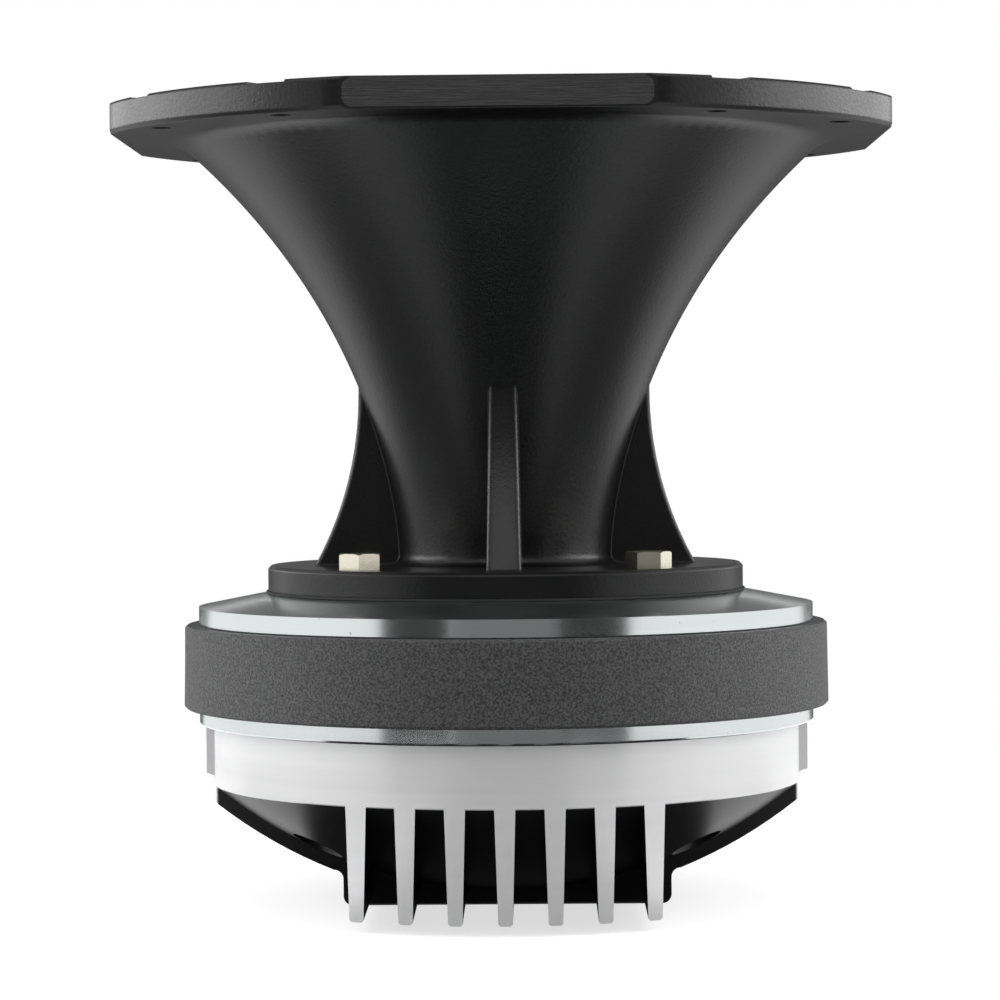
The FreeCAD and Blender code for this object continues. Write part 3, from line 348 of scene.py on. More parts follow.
@dataclass(frozen=True)
class Coat:
    """A powder coat with fine grain and paler edges, partly wear and partly a painted highlight,
    cut through where the flange was sawn.
    """

    name: str
    colour: Colour
    # paler colour along the edges: partly wear, partly a painted highlight on the rounded edges
    worn_and_highlit_edge_colour: Colour
    sawn_colour: Colour = (0.050, 0.050, 0.051)
    roughness: float = 0.33
    grain_scale: float = 1050.0
    grain_depth: float = 0.00006
    specular: float = 0.33
    edge_width: float = 0.0006
    flat_distance: float = 0.0971
    flat_middle: float = 0.19915
    flat_half: tuple[float, float] = (0.0359, 0.0032)
    flat_corner: float = 0.0022

    def material(self) -> bpy.types.Material:
        """Builds the coat's material."""
        material, pen, shader = start_material(self.name)
        grain = place_group(pen, EFFECTS.grain, Scale=self.grain_scale)
        edges = place_group(pen, EFFECTS.edges, Width=self.edge_width, Strength=3.0)
        sawn, lines = self._sawn(pen)
        # the edges are blended towards a paler colour: partly wear, partly a painted highlight
        coat = pen.blend(edges.outputs["Mask"], self.colour, self.worn_and_highlit_edge_colour)
        dull = tuple(part * 0.5 for part in self.sawn_colour)
        pen.set(shader, "Base Color",
                pen.blend(sawn, coat, pen.blend(lines, dull, self.sawn_colour)))
        pen.set(shader, "Roughness", pen.math(
            "ADD", pen.math("MULTIPLY", sawn, 0.2), self.roughness))
        shader.inputs["Specular IOR Level"].default_value = self.specular
        height = pen.math("ADD", grain.outputs["Height"],
                          pen.math("MULTIPLY", pen.math("MULTIPLY", sawn, lines), 4.0))
        rounded = pen.put("ShaderNodeBevel", Radius=self.edge_width)
        emboss(pen, shader, height, self.grain_depth, rounded.outputs[0])
        return material

    def _sawn(self, pen: NodePen) -> tuple[bpy.types.NodeSocket, bpy.types.NodeSocket]:
        """Marks the flange's sawn flats, inside a rounded outline.

        Args:
            pen: The pen of the material.

        Returns:
            The mask of the flats and the saw's lines along them.
        """
        place = pen.put("ShaderNodeTexCoord").outputs["Object"]
        parts = pen.put("ShaderNodeSeparateXYZ", Vector=place)
        sides = [pen.math("ABSOLUTE", parts.outputs[index]) for index in (0, 1)]
        out, along = pen.math("MAXIMUM", *sides), pen.math("MINIMUM", *sides)
        rise = pen.math("ABSOLUTE", pen.math("SUBTRACT", parts.outputs[2], self.flat_middle))
        beyond = [pen.math("MAXIMUM", pen.math("SUBTRACT", given, half - self.flat_corner), 0.0)
                  for given, half in zip((along, rise), self.flat_half)]
        span = pen.math("SQRT", pen.math("ADD", pen.math("MULTIPLY", beyond[0], beyond[0]),
                                         pen.math("MULTIPLY", beyond[1], beyond[1])))
        inside = pen.math("SUBTRACT", 1.0, pen.step(span, self.flat_corner,
                                                    self.flat_corner + 0.0003))
        facing = pen.step(out, self.flat_distance - 0.00006, self.flat_distance - 0.00003)
        stretched = pen.put("ShaderNodeCombineXYZ")
        for index, source in enumerate((along, pen.math("MULTIPLY", parts.outputs[2], 22.0))):
            pen.set(stretched, index, source)
        lines = pen.put("ShaderNodeTexNoise", Vector=stretched.outputs[0], Scale=90.0, Detail=4.0,
                        Roughness=0.65)
        strokes = pen.step(lines.outputs[0], 0.3, 0.7)
        return pen.math("MULTIPLY", inside, facing), strokes


@dataclass(frozen=True)
class TurnedMetal:
    """Bare or plated metal with lathe lines round the axis, and specks where it has tarnished."""

    name: str
    colour: Colour
    roughness: float = 0.2
    specks: float = 0.0
    line_depth: float = 0.000004
    shade_spread: float = 0.1
    speck_colour: Colour = (0.20, 0.17, 0.12)

    def material(self) -> bpy.types.Material:
        """Builds the metal's material."""
        material, pen, shader = start_material(self.name)
        self.dress(pen, shader)
        return material

    def dress(self, pen: NodePen, shader: bpy.types.Node) -> None:
        """Sets a shader up as this metal.

        Args:
            pen: The pen of the material.
            shader: The Principled shader.
        """
        lines = place_group(pen, EFFECTS.turned)
        darker = tuple(part * (1 - self.shade_spread) for part in self.colour)
        metal = pen.blend(lines.outputs["Shade"], self.colour, darker)
        if self.specks:
            grain = place_group(pen, EFFECTS.grain, Speck_Scale=620.0, Speck_Share=self.specks)
            metal = pen.blend(grain.outputs["Specks"], metal, self.speck_colour)
        pen.set(shader, "Base Color", metal)
        shader.inputs["Metallic"].default_value = 1.0
        shader.inputs["Roughness"].default_value = self.roughness
        emboss(pen, shader, lines.outputs["Height"], self.line_depth)


@dataclass(frozen=True)
class Ferrite:
    """Ground ceramic magnet: dull dark grey, mottled finely all over."""

    name: str = "ferrite"
    dark: Colour = (0.022, 0.022, 0.023)
    pale: Colour = (0.098, 0.098, 0.100)
    roughness: float = 0.62

    def material(self) -> bpy.types.Material:
        """Builds the ferrite's material."""
        material, pen, shader = start_material(self.name)
        grain = place_group(pen, EFFECTS.grain, Scale=1900.0, Speck_Scale=700.0,
                            Speck_Share=0.3)
        mottle = pen.step(grain.outputs["Height"], 0.37, 0.63)
        soft = pen.math("ADD", pen.math("MULTIPLY", mottle, 0.85),
                        pen.math("MULTIPLY", grain.outputs["Specks"], 0.15))
        pen.set(shader, "Base Color", pen.blend(soft, self.dark, self.pale))
        shader.inputs["Roughness"].default_value = self.roughness
        emboss(pen, shader, grain.outputs["Height"], 0.00008)
        return material


@dataclass(frozen=True)
class CoverCasting:
    """The rear cover: coated casting, bare where the lathe has cut it."""

    name: str = "cover_casting"
    coat: Colour = (0.0095, 0.0096, 0.010)
    bare: Colour = (0.92, 0.92, 0.93)
    boss: Colour = (0.30, 0.30, 0.31)
    satin: float = 0.3
    turned_radius: float = 0.07555
    boss_radius: float = 0.0761
    bare_roughness: float = 0.24
    coat_roughness: float = 0.34

    def material(self) -> bpy.types.Material:
        """Builds the casting's material."""
        material, pen, shader = start_material(self.name)
        place = pen.put("ShaderNodeTexCoord").outputs["Object"]
        flat = pen.vector("MULTIPLY", place, (1.0, 1.0, 0.0)).outputs[0]
        across = pen.vector("LENGTH", flat).outputs["Value"]
        bare = pen.step(across, self.turned_radius, self.turned_radius + 0.0001)
        boss = pen.step(across, self.boss_radius, self.boss_radius + 0.0001)
        grain = place_group(pen, EFFECTS.grain, Scale=1500.0)
        lines = place_group(pen, EFFECTS.turned, Line_Scale=2200.0)
        shade = pen.blend(lines.outputs["Shade"], self.bare,
                          tuple(part * 0.86 for part in self.bare))
        colour = pen.blend(bare, self.coat, shade)
        pen.set(shader, "Base Color", pen.blend(boss, colour, self.boss))
        metal = pen.math("SUBTRACT", bare, boss, clamp=True)
        pen.set(shader, "Metallic", pen.math("MULTIPLY", metal, self.satin))
        spread = self.bare_roughness - self.coat_roughness
        pen.set(shader, "Roughness",
                pen.math("ADD", pen.math("MULTIPLY", metal, spread), self.coat_roughness))
        height = pen.blend(metal, grain.outputs["Height"], lines.outputs["Height"])
        emboss(pen, shader, height, 0.000012)
        return material


@dataclass(frozen=True)
class PlainStuff:
    """A plain non-metal such as fibre, foam, film or moulded plastic."""

    name: str
    colour: Colour
    roughness: float = 0.6
    grain_scale: float = 900.0
    grain_depth: float = 0.00005
    metallic: float = 0.0

    def material(self) -> bpy.types.Material:
        """Builds the material."""
        material, pen, shader = start_material(self.name)
        grain = place_group(pen, EFFECTS.grain, Scale=self.grain_scale)
        shader.inputs["Base Color"].default_value = rgba(self.colour)
        shader.inputs["Roughness"].default_value = self.roughness
        shader.inputs["Metallic"].default_value = self.metallic
        emboss(pen, shader, grain.outputs["Height"], self.grain_depth)
        return material


class Palette:
    """Every finish of the driver, built once and kept by the record's slot name."""

    def __init__(self) -> None:
        """Builds the materials."""
        finishes = {
            # the horn's second colour is its paler edges: partly wear, partly a painted highlight
            "horn_coat": Coat("horn_coat", (0.0045, 0.0046, 0.0048), (0.11, 0.11, 0.112)),
            "cover_coat": CoverCasting(),
            "plate_zinc": TurnedMetal("plate_zinc", (0.77, 0.815, 0.81), 0.17, 0.24),
            "bolt_zinc": PlainStuff("bolt_zinc", (0.80, 0.75, 0.63), 0.26, 1500.0, 0.00002, 1.0),
            "ferrite": Ferrite(),
            "pole_steel": TurnedMetal("pole_steel", (0.56, 0.56, 0.57), 0.28),
            "copper": TurnedMetal("copper", (0.85, 0.46, 0.30), 0.25),
            "plug_alloy": TurnedMetal("plug_alloy", (0.72, 0.72, 0.73), 0.3),
            "foil": TurnedMetal("foil", (0.85, 0.85, 0.87), 0.2),
            "film": PlainStuff("film", (0.42, 0.22, 0.05), 0.3),
            "clamp_alloy": TurnedMetal("clamp_alloy", (0.75, 0.75, 0.76), 0.3),
            "coil_wire": PlainStuff("coil_wire", (0.80, 0.42, 0.22), 0.35, metallic=1.0),
            "screw_black": PlainStuff("screw_black", (0.10, 0.10, 0.105), 0.35, metallic=1.0),
            "contact_brass": PlainStuff("contact_brass", (0.83, 0.70, 0.40), 0.3, metallic=1.0),
            "block_plastic": PlainStuff("block_plastic", (0.016, 0.016, 0.017), 0.5),
            "gasket_fibre": PlainStuff("gasket_fibre", (0.018, 0.018, 0.018), 0.85),
            "damping_foam": PlainStuff("damping_foam", (0.10, 0.10, 0.105), 0.95, 500.0, 0.0004),
        }
        self.by_slot = {slot: finish.material() for slot, finish in finishes.items()}


@dataclass(frozen=True)
class BellLaw:
    """The rule of the horn: its radius grows exponentially, eased in at the foot."""

    foot: float = 0.0864
    length: float = 0.1089
    neck: float = 0.027498
    mouth: float = 0.0835
    ease: float = 0.05875
    wall: float = 0.0028
    slack: float = 0.00015
    lowest: float = 0.004

    def _span(self) -> float:
        """Gives the eased length that the whole growth takes."""
        return self.length ** 2 / (self.length + self.ease)

    def radius(self, rise: np.ndarray) -> np.ndarray:
        """Gives the outer skin's radius at each rise above the foot."""
        share = rise ** 2 / (rise + self.ease) / self._span()
        return self.neck * (self.mouth / self.neck) ** share

    def slope(self, rise: np.ndarray) -> np.ndarray:
        """Gives how fast the outer skin's radius grows at each rise."""
        growth = (rise ** 2 + 2 * rise * self.ease) / (rise + self.ease) ** 2 / self._span()
        return self.radius(rise) * math.log(self.mouth / self.neck) * growth

    def profile(self, across: np.ndarray, level: np.ndarray) -> tuple[np.ndarray, np.ndarray]:
        """Finds the points that lie on the bell's two skins.

        Args:
            across: The points' distances from the axis.
            level: The points' heights.

        Returns:
            Whether each point is on a skin, and the skin's normal, outward and upward.
        """
        rise = np.clip(level - self.foot, 0.001, self.length)
        back = rise
        for _ in range(SKIN_STEPS):
            back = rise - self.wall * np.sin(np.arctan(self.slope(back)))
        inner = self.radius(back) - self.wall * np.cos(np.arctan(self.slope(back)))
        within = (level > self.foot + self.lowest) & (level < self.foot + self.length)
        found, parts = np.zeros(len(rise), dtype=bool), np.zeros((len(rise), 2))
        for radius, slope, side in ((self.radius(rise), self.slope(rise), 1.0),
                                    (inner, self.slope(back), -1.0)):
            near = within & (np.abs(across - radius) < self.slack)
            normal = side * np.column_stack((np.ones(len(rise)), -slope))
            parts[near] = (normal / np.hypot(1.0, slope)[:, None])[near]
            found |= near
        return found, parts


class Shading:
    """Works out the normals of a welded CAD mesh.

    Faces that a lathe would leave get normals square to their ring, the same all the way round,
    so that long thin triangles don't show in the gloss. Other faces keep their own normals.
    """

    RING_STEP = 0.00002
    PROFILE_SLACK = 0.00007
    SIDEWAYS = 0.12
    AGREEMENT = 0.9
    SLIVER = 0.000015
    SHORT_PROFILE = 0.0003
    FREE_WEIGHT = 0.0001
    SAME_SKIN = 0.97

    def __init__(self, mesh: bpy.types.Mesh, angle: float, law: BellLaw | None = None) -> None:
        """Reads the triangles.

        Args:
            mesh: A mesh of triangles.
            angle: The angle in degrees from which an edge is sharp.
            law: The rule that some of its faces follow, if any.
        """
        self.mesh = mesh
        self.law = law
        self.sharp_cosine = math.cos(math.radians(angle))
        self.points = self._read(mesh.vertices, "co", 3)
        self.corners = self._read(mesh.loops, "vertex_index", 1, int).reshape(-1, 3)
        self.normals = self._read(mesh.polygons, "normal", 3)
        self.edges = self._read(mesh.loops, "edge_index", 1, int)
        self.radii = np.hypot(self.points[:, 0], self.points[:, 1])

    @staticmethod
    def _read(items, name: str, width: int, kind: type = float) -> np.ndarray:
        """Reads one property of every item into an array."""
        flat = np.empty(len(items) * width, dtype=kind)
        items.foreach_get(name, flat)
        return flat.reshape(-1, width) if width > 1 else flat

    def _turned(self) -> tuple[np.ndarray, np.ndarray, np.ndarray]:
        """Finds the turned faces and fits a straight profile to each.

        Returns:
            Whether each face is turned, its normal's outward and upward parts, and whether the
            face is too small to say anything about its surface.
        """
        corners = self.points[self.corners]
        middle = corners.mean(axis=1)[:, :2]
        middle /= np.maximum(np.linalg.norm(middle, axis=1, keepdims=True), 1e-9)
        level = np.hypot(self.normals[:, 0], self.normals[:, 1])
        outward = np.einsum("ij,ij->i", middle, self.normals[:, :2])
        outward = np.where(outward < 0, -level, level)
        sideways = np.abs(middle[:, 0] * self.normals[:, 1] - middle[:, 1] * self.normals[:, 0])
        across = self.radii[self.corners]
        across = across - across.mean(axis=1, keepdims=True)
        rise = corners[:, :, 2] - corners[:, :, 2].mean(axis=1, keepdims=True)
        tilt = 0.5 * np.arctan2(2 * (across * rise).sum(axis=1),
                                (across ** 2).sum(axis=1) - (rise ** 2).sum(axis=1))
        fitted = np.column_stack((-np.sin(tilt), np.cos(tilt)))
        spread = np.abs(across * fitted[:, :1] + rise * fitted[:, 1:]).max(axis=1)
        agreement = fitted[:, 0] * outward + fitted[:, 1] * self.normals[:, 2]
        fitted *= np.sign(agreement)[:, None]
        extent = np.hypot(np.ptp(across, axis=1), np.ptp(rise, axis=1))
        sides = np.linalg.norm(np.roll(corners, -1, axis=1) - corners, axis=2)
        area = np.linalg.norm(np.cross(corners[:, 1] - corners[:, 0],
                                       corners[:, 2] - corners[:, 0]), axis=1)
        free = area / np.maximum(sides.max(axis=1), 1e-12) < self.SLIVER
        free |= (sideways < self.SIDEWAYS) & (extent < self.SHORT_PROFILE)
        turned = (~free & (sideways < self.SIDEWAYS) & (spread < self.PROFILE_SLACK)
                  & (np.abs(agreement) > self.AGREEMENT))
        return turned, fitted, free

    def _sharp(self) -> np.ndarray:
        """Marks the mesh's sharp edges and gives the marks."""
        order = np.argsort(self.edges, kind="stable")
        counts = np.bincount(self.edges, minlength=len(self.mesh.edges))
        first = np.cumsum(counts) - counts
        paired = np.flatnonzero(counts == 2)
        sides = [self.normals[order[first[paired] + step] // 3] for step in (0, 1)]
        marks = np.ones(len(self.mesh.edges), dtype=bool)
        marks[paired] = np.einsum("ij,ij->i", *sides) < self.sharp_cosine
        store = self.mesh.attributes.get("sharp_edge") or self.mesh.attributes.new(
            "sharp_edge", "BOOLEAN", "EDGE")
        store.data.foreach_set("value", marks)
        return marks

    def _weights(self) -> np.ndarray:
        """Gives the angle of every corner of every face."""
        corners = self.points[self.corners]
        after = np.roll(corners, -1, axis=1) - corners
        before = np.roll(corners, 1, axis=1) - corners
        lengths = np.linalg.norm(after, axis=2) * np.linalg.norm(before, axis=2)
        cosine = np.einsum("ijk,ijk->ij", after, before) / np.maximum(lengths, 1e-18)
        return np.arccos(np.clip(cosine, -1.0, 1.0)).ravel()

    def _fans(self) -> np.ndarray:
        """Numbers the fan of smoothly joined faces that each corner belongs to."""
        parent = list(range(self.corners.size))

        def top(corner: int) -> int:
            """Finds the first corner of a fan."""
            while parent[corner] != corner:
                parent[corner] = parent[parent[corner]]
                corner = parent[corner]
            return corner

        sharp = set(np.flatnonzero(self._sharp()).tolist())
        seen: dict[int, dict[int, int]] = {}
        edges = self.edges.reshape(-1, 3)
        for face, (around, sides) in enumerate(zip(self.corners.tolist(), edges.tolist())):
            for side, edge in enumerate(sides):
                following = (side + 1) % 3
                ends = {around[side]: face * 3 + side, around[following]: face * 3 + following}
                other = seen.pop(edge, None)
                if other is None:
                    seen[edge] = ends
                elif edge not in sharp:
                    for vertex, corner in ends.items():
                        if vertex in other:
                            parent[top(corner)] = top(other[vertex])
        return np.array([top(corner) for corner in range(len(parent))])

    def apply(self) -> None:
        """Writes the normals into the mesh."""
        turned, fitted, free = self._turned()
        turned, free = np.repeat(turned, 3), np.repeat(free, 3)
        fitted = np.repeat(fitted, 3, axis=0)
        vertices = self.corners.ravel()
        own = np.repeat(self.normals, 3, axis=0)
        away = self.points[vertices, :2] / np.maximum(self.radii[vertices, None], 1e-9)
        given = np.where(turned[:, None], np.column_stack((away * fitted[:, :1], fitted[:, 1])),
                         own)
        weight = self._weights() * np.where(free, self.FREE_WEIGHT, 1.0)
        fans = self._fans()
        total = np.zeros((len(fans), 3))
        np.add.at(total, fans, given * weight[:, None])
        mixed = np.zeros(len(fans))
        np.add.at(mixed, fans, ~(turned | free))
        rings = turned & (mixed[fans] == 0) & (self.radii[vertices] > self.RING_STEP)
        keys = np.column_stack((np.round(self.radii[vertices] / self.RING_STEP),
                                np.round(self.points[vertices, 2] / self.RING_STEP),
                                np.round(np.arctan2(fitted[:, 1], fitted[:, 0]) * 3)))
        result = total[fans]
        if rings.any():
            _, group = np.unique(keys[rings], axis=0, return_inverse=True)
            profile = np.zeros((group.max() + 1, 2))
            np.add.at(profile, group.ravel(), fitted[rings] * weight[rings, None])
            shared = profile[group.ravel()]
            blended = np.zeros((len(fans), 3))
            np.add.at(blended, fans[rings],
                      np.column_stack((away[rings] * shared[:, :1], shared[:, 1:])))
            result[rings] = blended[fans[rings]]
        if self.law is not None:
            self._follow(result, own, away, fans)
        result /= np.maximum(np.linalg.norm(result, axis=1, keepdims=True), 1e-12)
        self.mesh.normals_split_custom_set(result.tolist())

    def _follow(self, result: np.ndarray, own: np.ndarray, away: np.ndarray,
                fans: np.ndarray) -> None:
        """Gives the corners on the law's skins the law's own normals.

        Args:
            result: The corners' normals, which are changed.
            own: The normal of each corner's face.
            away: The level direction from the axis to each corner.
            fans: The corners' fans.
        """
        vertices = self.corners.ravel()
        found, parts = self.law.profile(self.radii[vertices], self.points[vertices, 2])
        exact = np.column_stack((away * parts[:, :1], parts[:, 1]))
        agrees = found & (np.einsum("ij,ij->i", exact, own) > self.SAME_SKIN)
        whole = np.repeat(agrees.reshape(-1, 3).all(axis=1), 3)
        skin = np.zeros(len(fans), dtype=bool)
        skin[fans[whole]] = True
        taken = skin[fans] & found
        result[taken] = exact[taken]


class GeometryTree:
    """A Geometry Nodes tree with named inputs, which is run once into a plain mesh."""

    def __init__(self, name: str, sizes: dict[str, float | int]) -> None:
        """Makes the tree with its inputs.

        Args:
            name: The tree's name.
            sizes: The named inputs and their values.
        """
        self.sizes = sizes
        self.tree = bpy.data.node_groups.new(name, "GeometryNodeTree")
        sockets = self.tree.interface
        for side in ("INPUT", "OUTPUT"):
            sockets.new_socket("Geometry", in_out=side, socket_type="NodeSocketGeometry")
        for label, value in sizes.items():
            kind = "NodeSocketInt" if isinstance(value, int) else "NodeSocketFloat"
            sockets.new_socket(label, in_out="INPUT", socket_type=kind)
        sockets.new_socket("Material", in_out="INPUT", socket_type="NodeSocketMaterial")
        self.pen = NodePen(self.tree)
        self.given = self.pen.put("NodeGroupInput")
        self.out = self.pen.put("NodeGroupOutput")

    def size(self, label: str) -> bpy.types.NodeSocket:
        """Gives the socket of one named input."""
        return self.given.outputs[label]

    def lathe(self, columns, rows, place: Callable[..., tuple]) -> bpy.types.NodeSocket:
        """Bends a grid round the axis.

        Args:
            columns: The socket with the number of columns round the axis.
            rows: The socket or number of the rows along the profile.
            place: Gives the radius and level from a row's number and a column's angle.

        Returns:
            The bent grid, welded where it meets itself.
        """
        pen = self.pen
        grid = pen.put("GeometryNodeMeshGrid", Size_X=1.0, Size_Y=1.0)
        pen.set(grid, "Vertices X", pen.math("ADD", columns, 1.0))
        pen.set(grid, "Vertices Y", rows)
        spot = pen.put("ShaderNodeSeparateXYZ",
                       Vector=pen.put("GeometryNodeInputPosition").outputs[0])
        angle = pen.math("MULTIPLY", pen.math("ADD", spot.outputs[0], 0.5), 2 * math.pi)
        row = pen.math("ROUND", pen.math("MULTIPLY", pen.math("ADD", spot.outputs[1], 0.5),
                                         pen.math("SUBTRACT", rows, 1.0)))
        radius, level = place(row, angle)
        bent = pen.put("ShaderNodeCombineXYZ", Z=level)
        pen.set(bent, "X", pen.math("MULTIPLY", radius, pen.math("COSINE", angle)))
        pen.set(bent, "Y", pen.math("MULTIPLY", radius, pen.math("SINE", angle)))
        moved = pen.put("GeometryNodeSetPosition", Geometry=grid.outputs["Mesh"],
                        Position=bent.outputs[0])
        return pen.put("GeometryNodeMergeByDistance", Geometry=moved.outputs[0],
                       Distance=WELD).outputs[0]

    def close(self, geometry: bpy.types.NodeSocket) -> None:
        """Ends the tree with Realize Instances and Set Material."""
        real = self.pen.put("GeometryNodeRealizeInstances", Geometry=geometry)
        dressed = self.pen.put("GeometryNodeSetMaterial", Geometry=real.outputs[0],
                               Material=self.size("Material"))
        self.pen.set(self.out, "Geometry", dressed.outputs[0])

    def bake(self, base: bpy.types.Mesh, material: bpy.types.Material) -> bpy.types.Mesh:
        """Runs the tree on a mesh.

        Args:
            base: The mesh that the tree starts from.
            material: The finish.

        Returns:
            The plain mesh that the tree makes.
        """
        holder = bpy.data.objects.new(self.tree.name, base)
        bpy.context.scene.collection.objects.link(holder)
        modifier = holder.modifiers.new(self.tree.name, "NODES")
        modifier.node_group = self.tree
        values = {**self.sizes, "Material": material}
        for item in self.tree.interface.items_tree:
            if item.in_out == "INPUT" and item.name in values:
                modifier[item.identifier] = values[item.name]
        graph = bpy.context.evaluated_depsgraph_get()
        mesh = bpy.data.meshes.new_from_object(holder.evaluated_get(graph), depsgraph=graph)
        holder.modifiers.remove(modifier)
        bpy.data.objects.remove(holder)
        return mesh


@dataclass
class Piece:
    """A smooth-shaded copy of one node of the frame, which it stands for."""

    node: str
    slot: str
    sharp_angle: float
    law: BellLaw | None = None

    def build(self, palette: "Palette") -> bpy.types.Object:
        """Builds, welds, smooths and dresses the piece.

        Args:
            palette: The finishes.

        Returns:
            The dressed piece.
        """
        material = palette.by_slot[self.slot]
        work = bmesh.new()
        self.shape(work, material)
        bmesh.ops.remove_doubles(work, verts=work.verts, dist=WELD)
        bmesh.ops.triangulate(work, faces=work.faces)
        mesh = bpy.data.meshes.new(self.node + "_dressed")
        work.to_mesh(mesh)
        work.free()
        mesh.materials.append(material)
        mesh.shade_smooth()
        Shading(mesh, self.sharp_angle, self.law).apply()
        piece = bpy.data.objects.new(self.node + "_dressed", mesh)
        bpy.context.scene.collection.objects.link(piece)
        attach(piece, self.node, self.slot)
        return piece

    def shape(self, work: bmesh.types.BMesh, material: bpy.types.Material) -> None:
        """Puts the node's own mesh into the work.

        Args:
            work: The mesh that is built.
            material: The finish, for pieces that a tree makes.
        """
        work.from_mesh(frame["nodes"][self.node].data)


@dataclass
class HornCasting(Piece):
    """The cast horn, whose bell between the ribs and the flange is made from its law."""

    law: BellLaw | None = BellLaw()
    low: float = 0.1375
    high: float = 0.1922
    joint: float = 0.0006
    segments: int = 180
    rings: int = 40

    def shape(self, work: bmesh.types.BMesh, material: bpy.types.Material) -> None:
        """Opens the frame's casting and sets the bell into it."""
        super().shape(work, material)
        bmesh.ops.remove_doubles(work, verts=work.verts, dist=WELD)
        for level in (self.low, self.high):
            bmesh.ops.bisect_plane(work, geom=[*work.verts, *work.edges, *work.faces],
                                   dist=WELD, plane_co=(0, 0, level), plane_no=(0, 0, 1))
        between = [face for face in work.faces
                   if self.low < face.calc_center_median().z < self.high]
        bmesh.ops.delete(work, geom=between, context="FACES")
        work.from_mesh(self._bell().bake(bpy.data.meshes.new("bell_start"), material))
        for end, inward in ((self.low, self.low + self.joint),
                            (self.high, self.high - self.joint)):
            for outer in (True, False):
                rims = self._rim(work, end, outer) + self._rim(work, inward, outer)
                bmesh.ops.bridge_loops(work, edges=rims)
        bmesh.ops.recalc_face_normals(work, faces=work.faces)

    def _rim(self, work: bmesh.types.BMesh, level: float, outer: bool) -> list:
        """Finds one open rim.

        Args:
            work: The mesh that is built.
            level: The rim's height.
            outer: Whether the rim belongs to the outer skin.

        Returns:
            The rim's edges.
        """
        rise = np.array([level - self.law.foot])
        border = float(self.law.radius(rise)[0]) - self.law.wall / 2
        rims = [edge for edge in work.edges if edge.is_boundary
                and abs(edge.verts[0].co.z - level) < 10 * WELD
                and abs(edge.verts[1].co.z - level) < 10 * WELD]
        return [edge for edge in rims if (edge.verts[0].co.xy.length > border) == outer]

    def _bell(self) -> GeometryTree:
        """Builds the tree of the bell's two skins."""
        tree = GeometryTree("horn_bell", {
            "Foot": self.law.foot, "Length": self.law.length, "Neck": self.law.neck,
            "Mouth": self.law.mouth, "Ease": self.law.ease, "Wall": self.law.wall,
            "Low": self.low + self.joint, "High": self.high - self.joint,
            "Segments": self.segments, "Rings": self.rings})
        pen, law = tree.pen, self._law_group()

        def growth(rise: bpy.types.NodeSocket) -> bpy.types.Node:
            """Adds the law at a rise above the foot."""
            sizes = {label: tree.size(label) for label in ("Length", "Neck", "Mouth", "Ease")}
            node = pen.put("GeometryNodeGroup")
            node.node_tree = law
            for label, source in {"Rise": rise, **sizes}.items():
                pen.set(node, label, source)
            return node

        def skin(row: bpy.types.NodeSocket, wall) -> tuple:
            """Gives a row's radius and level, a wall's thickness inside the outer skin."""
            share = pen.math("DIVIDE", row, tree.size("Rings"))
            level = pen.math("ADD", tree.size("Low"), pen.math(
                "MULTIPLY", share, pen.math("SUBTRACT", tree.size("High"), tree.size("Low"))))
            rise = back = pen.math("SUBTRACT", level, tree.size("Foot"))
            for _ in range(SKIN_STEPS):
                tilt = pen.math("ARCTANGENT", growth(back).outputs["Slope"])
                back = pen.math("SUBTRACT", rise,
                                pen.math("MULTIPLY", wall, pen.math("SINE", tilt)))
            outside = growth(back)
            tilt = pen.math("ARCTANGENT", outside.outputs["Slope"])
            return pen.math("SUBTRACT", outside.outputs["Radius"], pen.math(
                "MULTIPLY", wall, pen.math("COSINE", tilt))), level

        rows = pen.math("ADD", tree.size("Rings"), 1.0)
        outer = tree.lathe(tree.size("Segments"), rows, lambda row, _: skin(row, 0.0))
        inner = tree.lathe(tree.size("Segments"), rows,
                           lambda row, _: skin(row, tree.size("Wall")))
        both = pen.put("GeometryNodeJoinGeometry")
        for source in (outer, pen.put("GeometryNodeFlipFaces", Mesh=inner).outputs[0]):
            pen.set(both, "Geometry", source)
        tree.close(both.outputs[0])
        return tree

    @staticmethod
    def _law_group() -> bpy.types.NodeTree:
        """Builds the bell's law as a group, with the radius and slope at a rise."""
        group = bpy.data.node_groups.new("horn_law", "GeometryNodeTree")
        for side, labels in (("INPUT", ("Rise", "Length", "Neck", "Mouth", "Ease")),
                             ("OUTPUT", ("Radius", "Slope"))):
            for label in labels:
                group.interface.new_socket(label, in_out=side, socket_type="NodeSocketFloat")
        pen = NodePen(group)
        given, out = pen.put("NodeGroupInput"), pen.put("NodeGroupOutput")
        rise, length, neck, mouth, ease = (given.outputs[index] for index in range(5))
        span = pen.math("DIVIDE", pen.math("MULTIPLY", length, length),
                        pen.math("ADD", length, ease))
        eased, square = pen.math("ADD", rise, ease), pen.math("MULTIPLY", rise, rise)
        share = pen.math("DIVIDE", pen.math("DIVIDE", square, eased), span)
        growth = pen.math("DIVIDE", mouth, neck)
        radius = pen.math("MULTIPLY", neck, pen.math("POWER", growth, share))
        double = pen.math("MULTIPLY", pen.math("MULTIPLY", rise, ease), 2.0)
        rate = pen.math("DIVIDE", pen.math("ADD", square, double),
                        pen.math("MULTIPLY", pen.math("MULTIPLY", eased, eased), span))
        pen.set(out, "Radius", radius)
        pen.set(out, "Slope", pen.math("MULTIPLY", pen.math("MULTIPLY", radius, rate),
                                       pen.math("LOGARITHM", growth, math.e)))
        return group


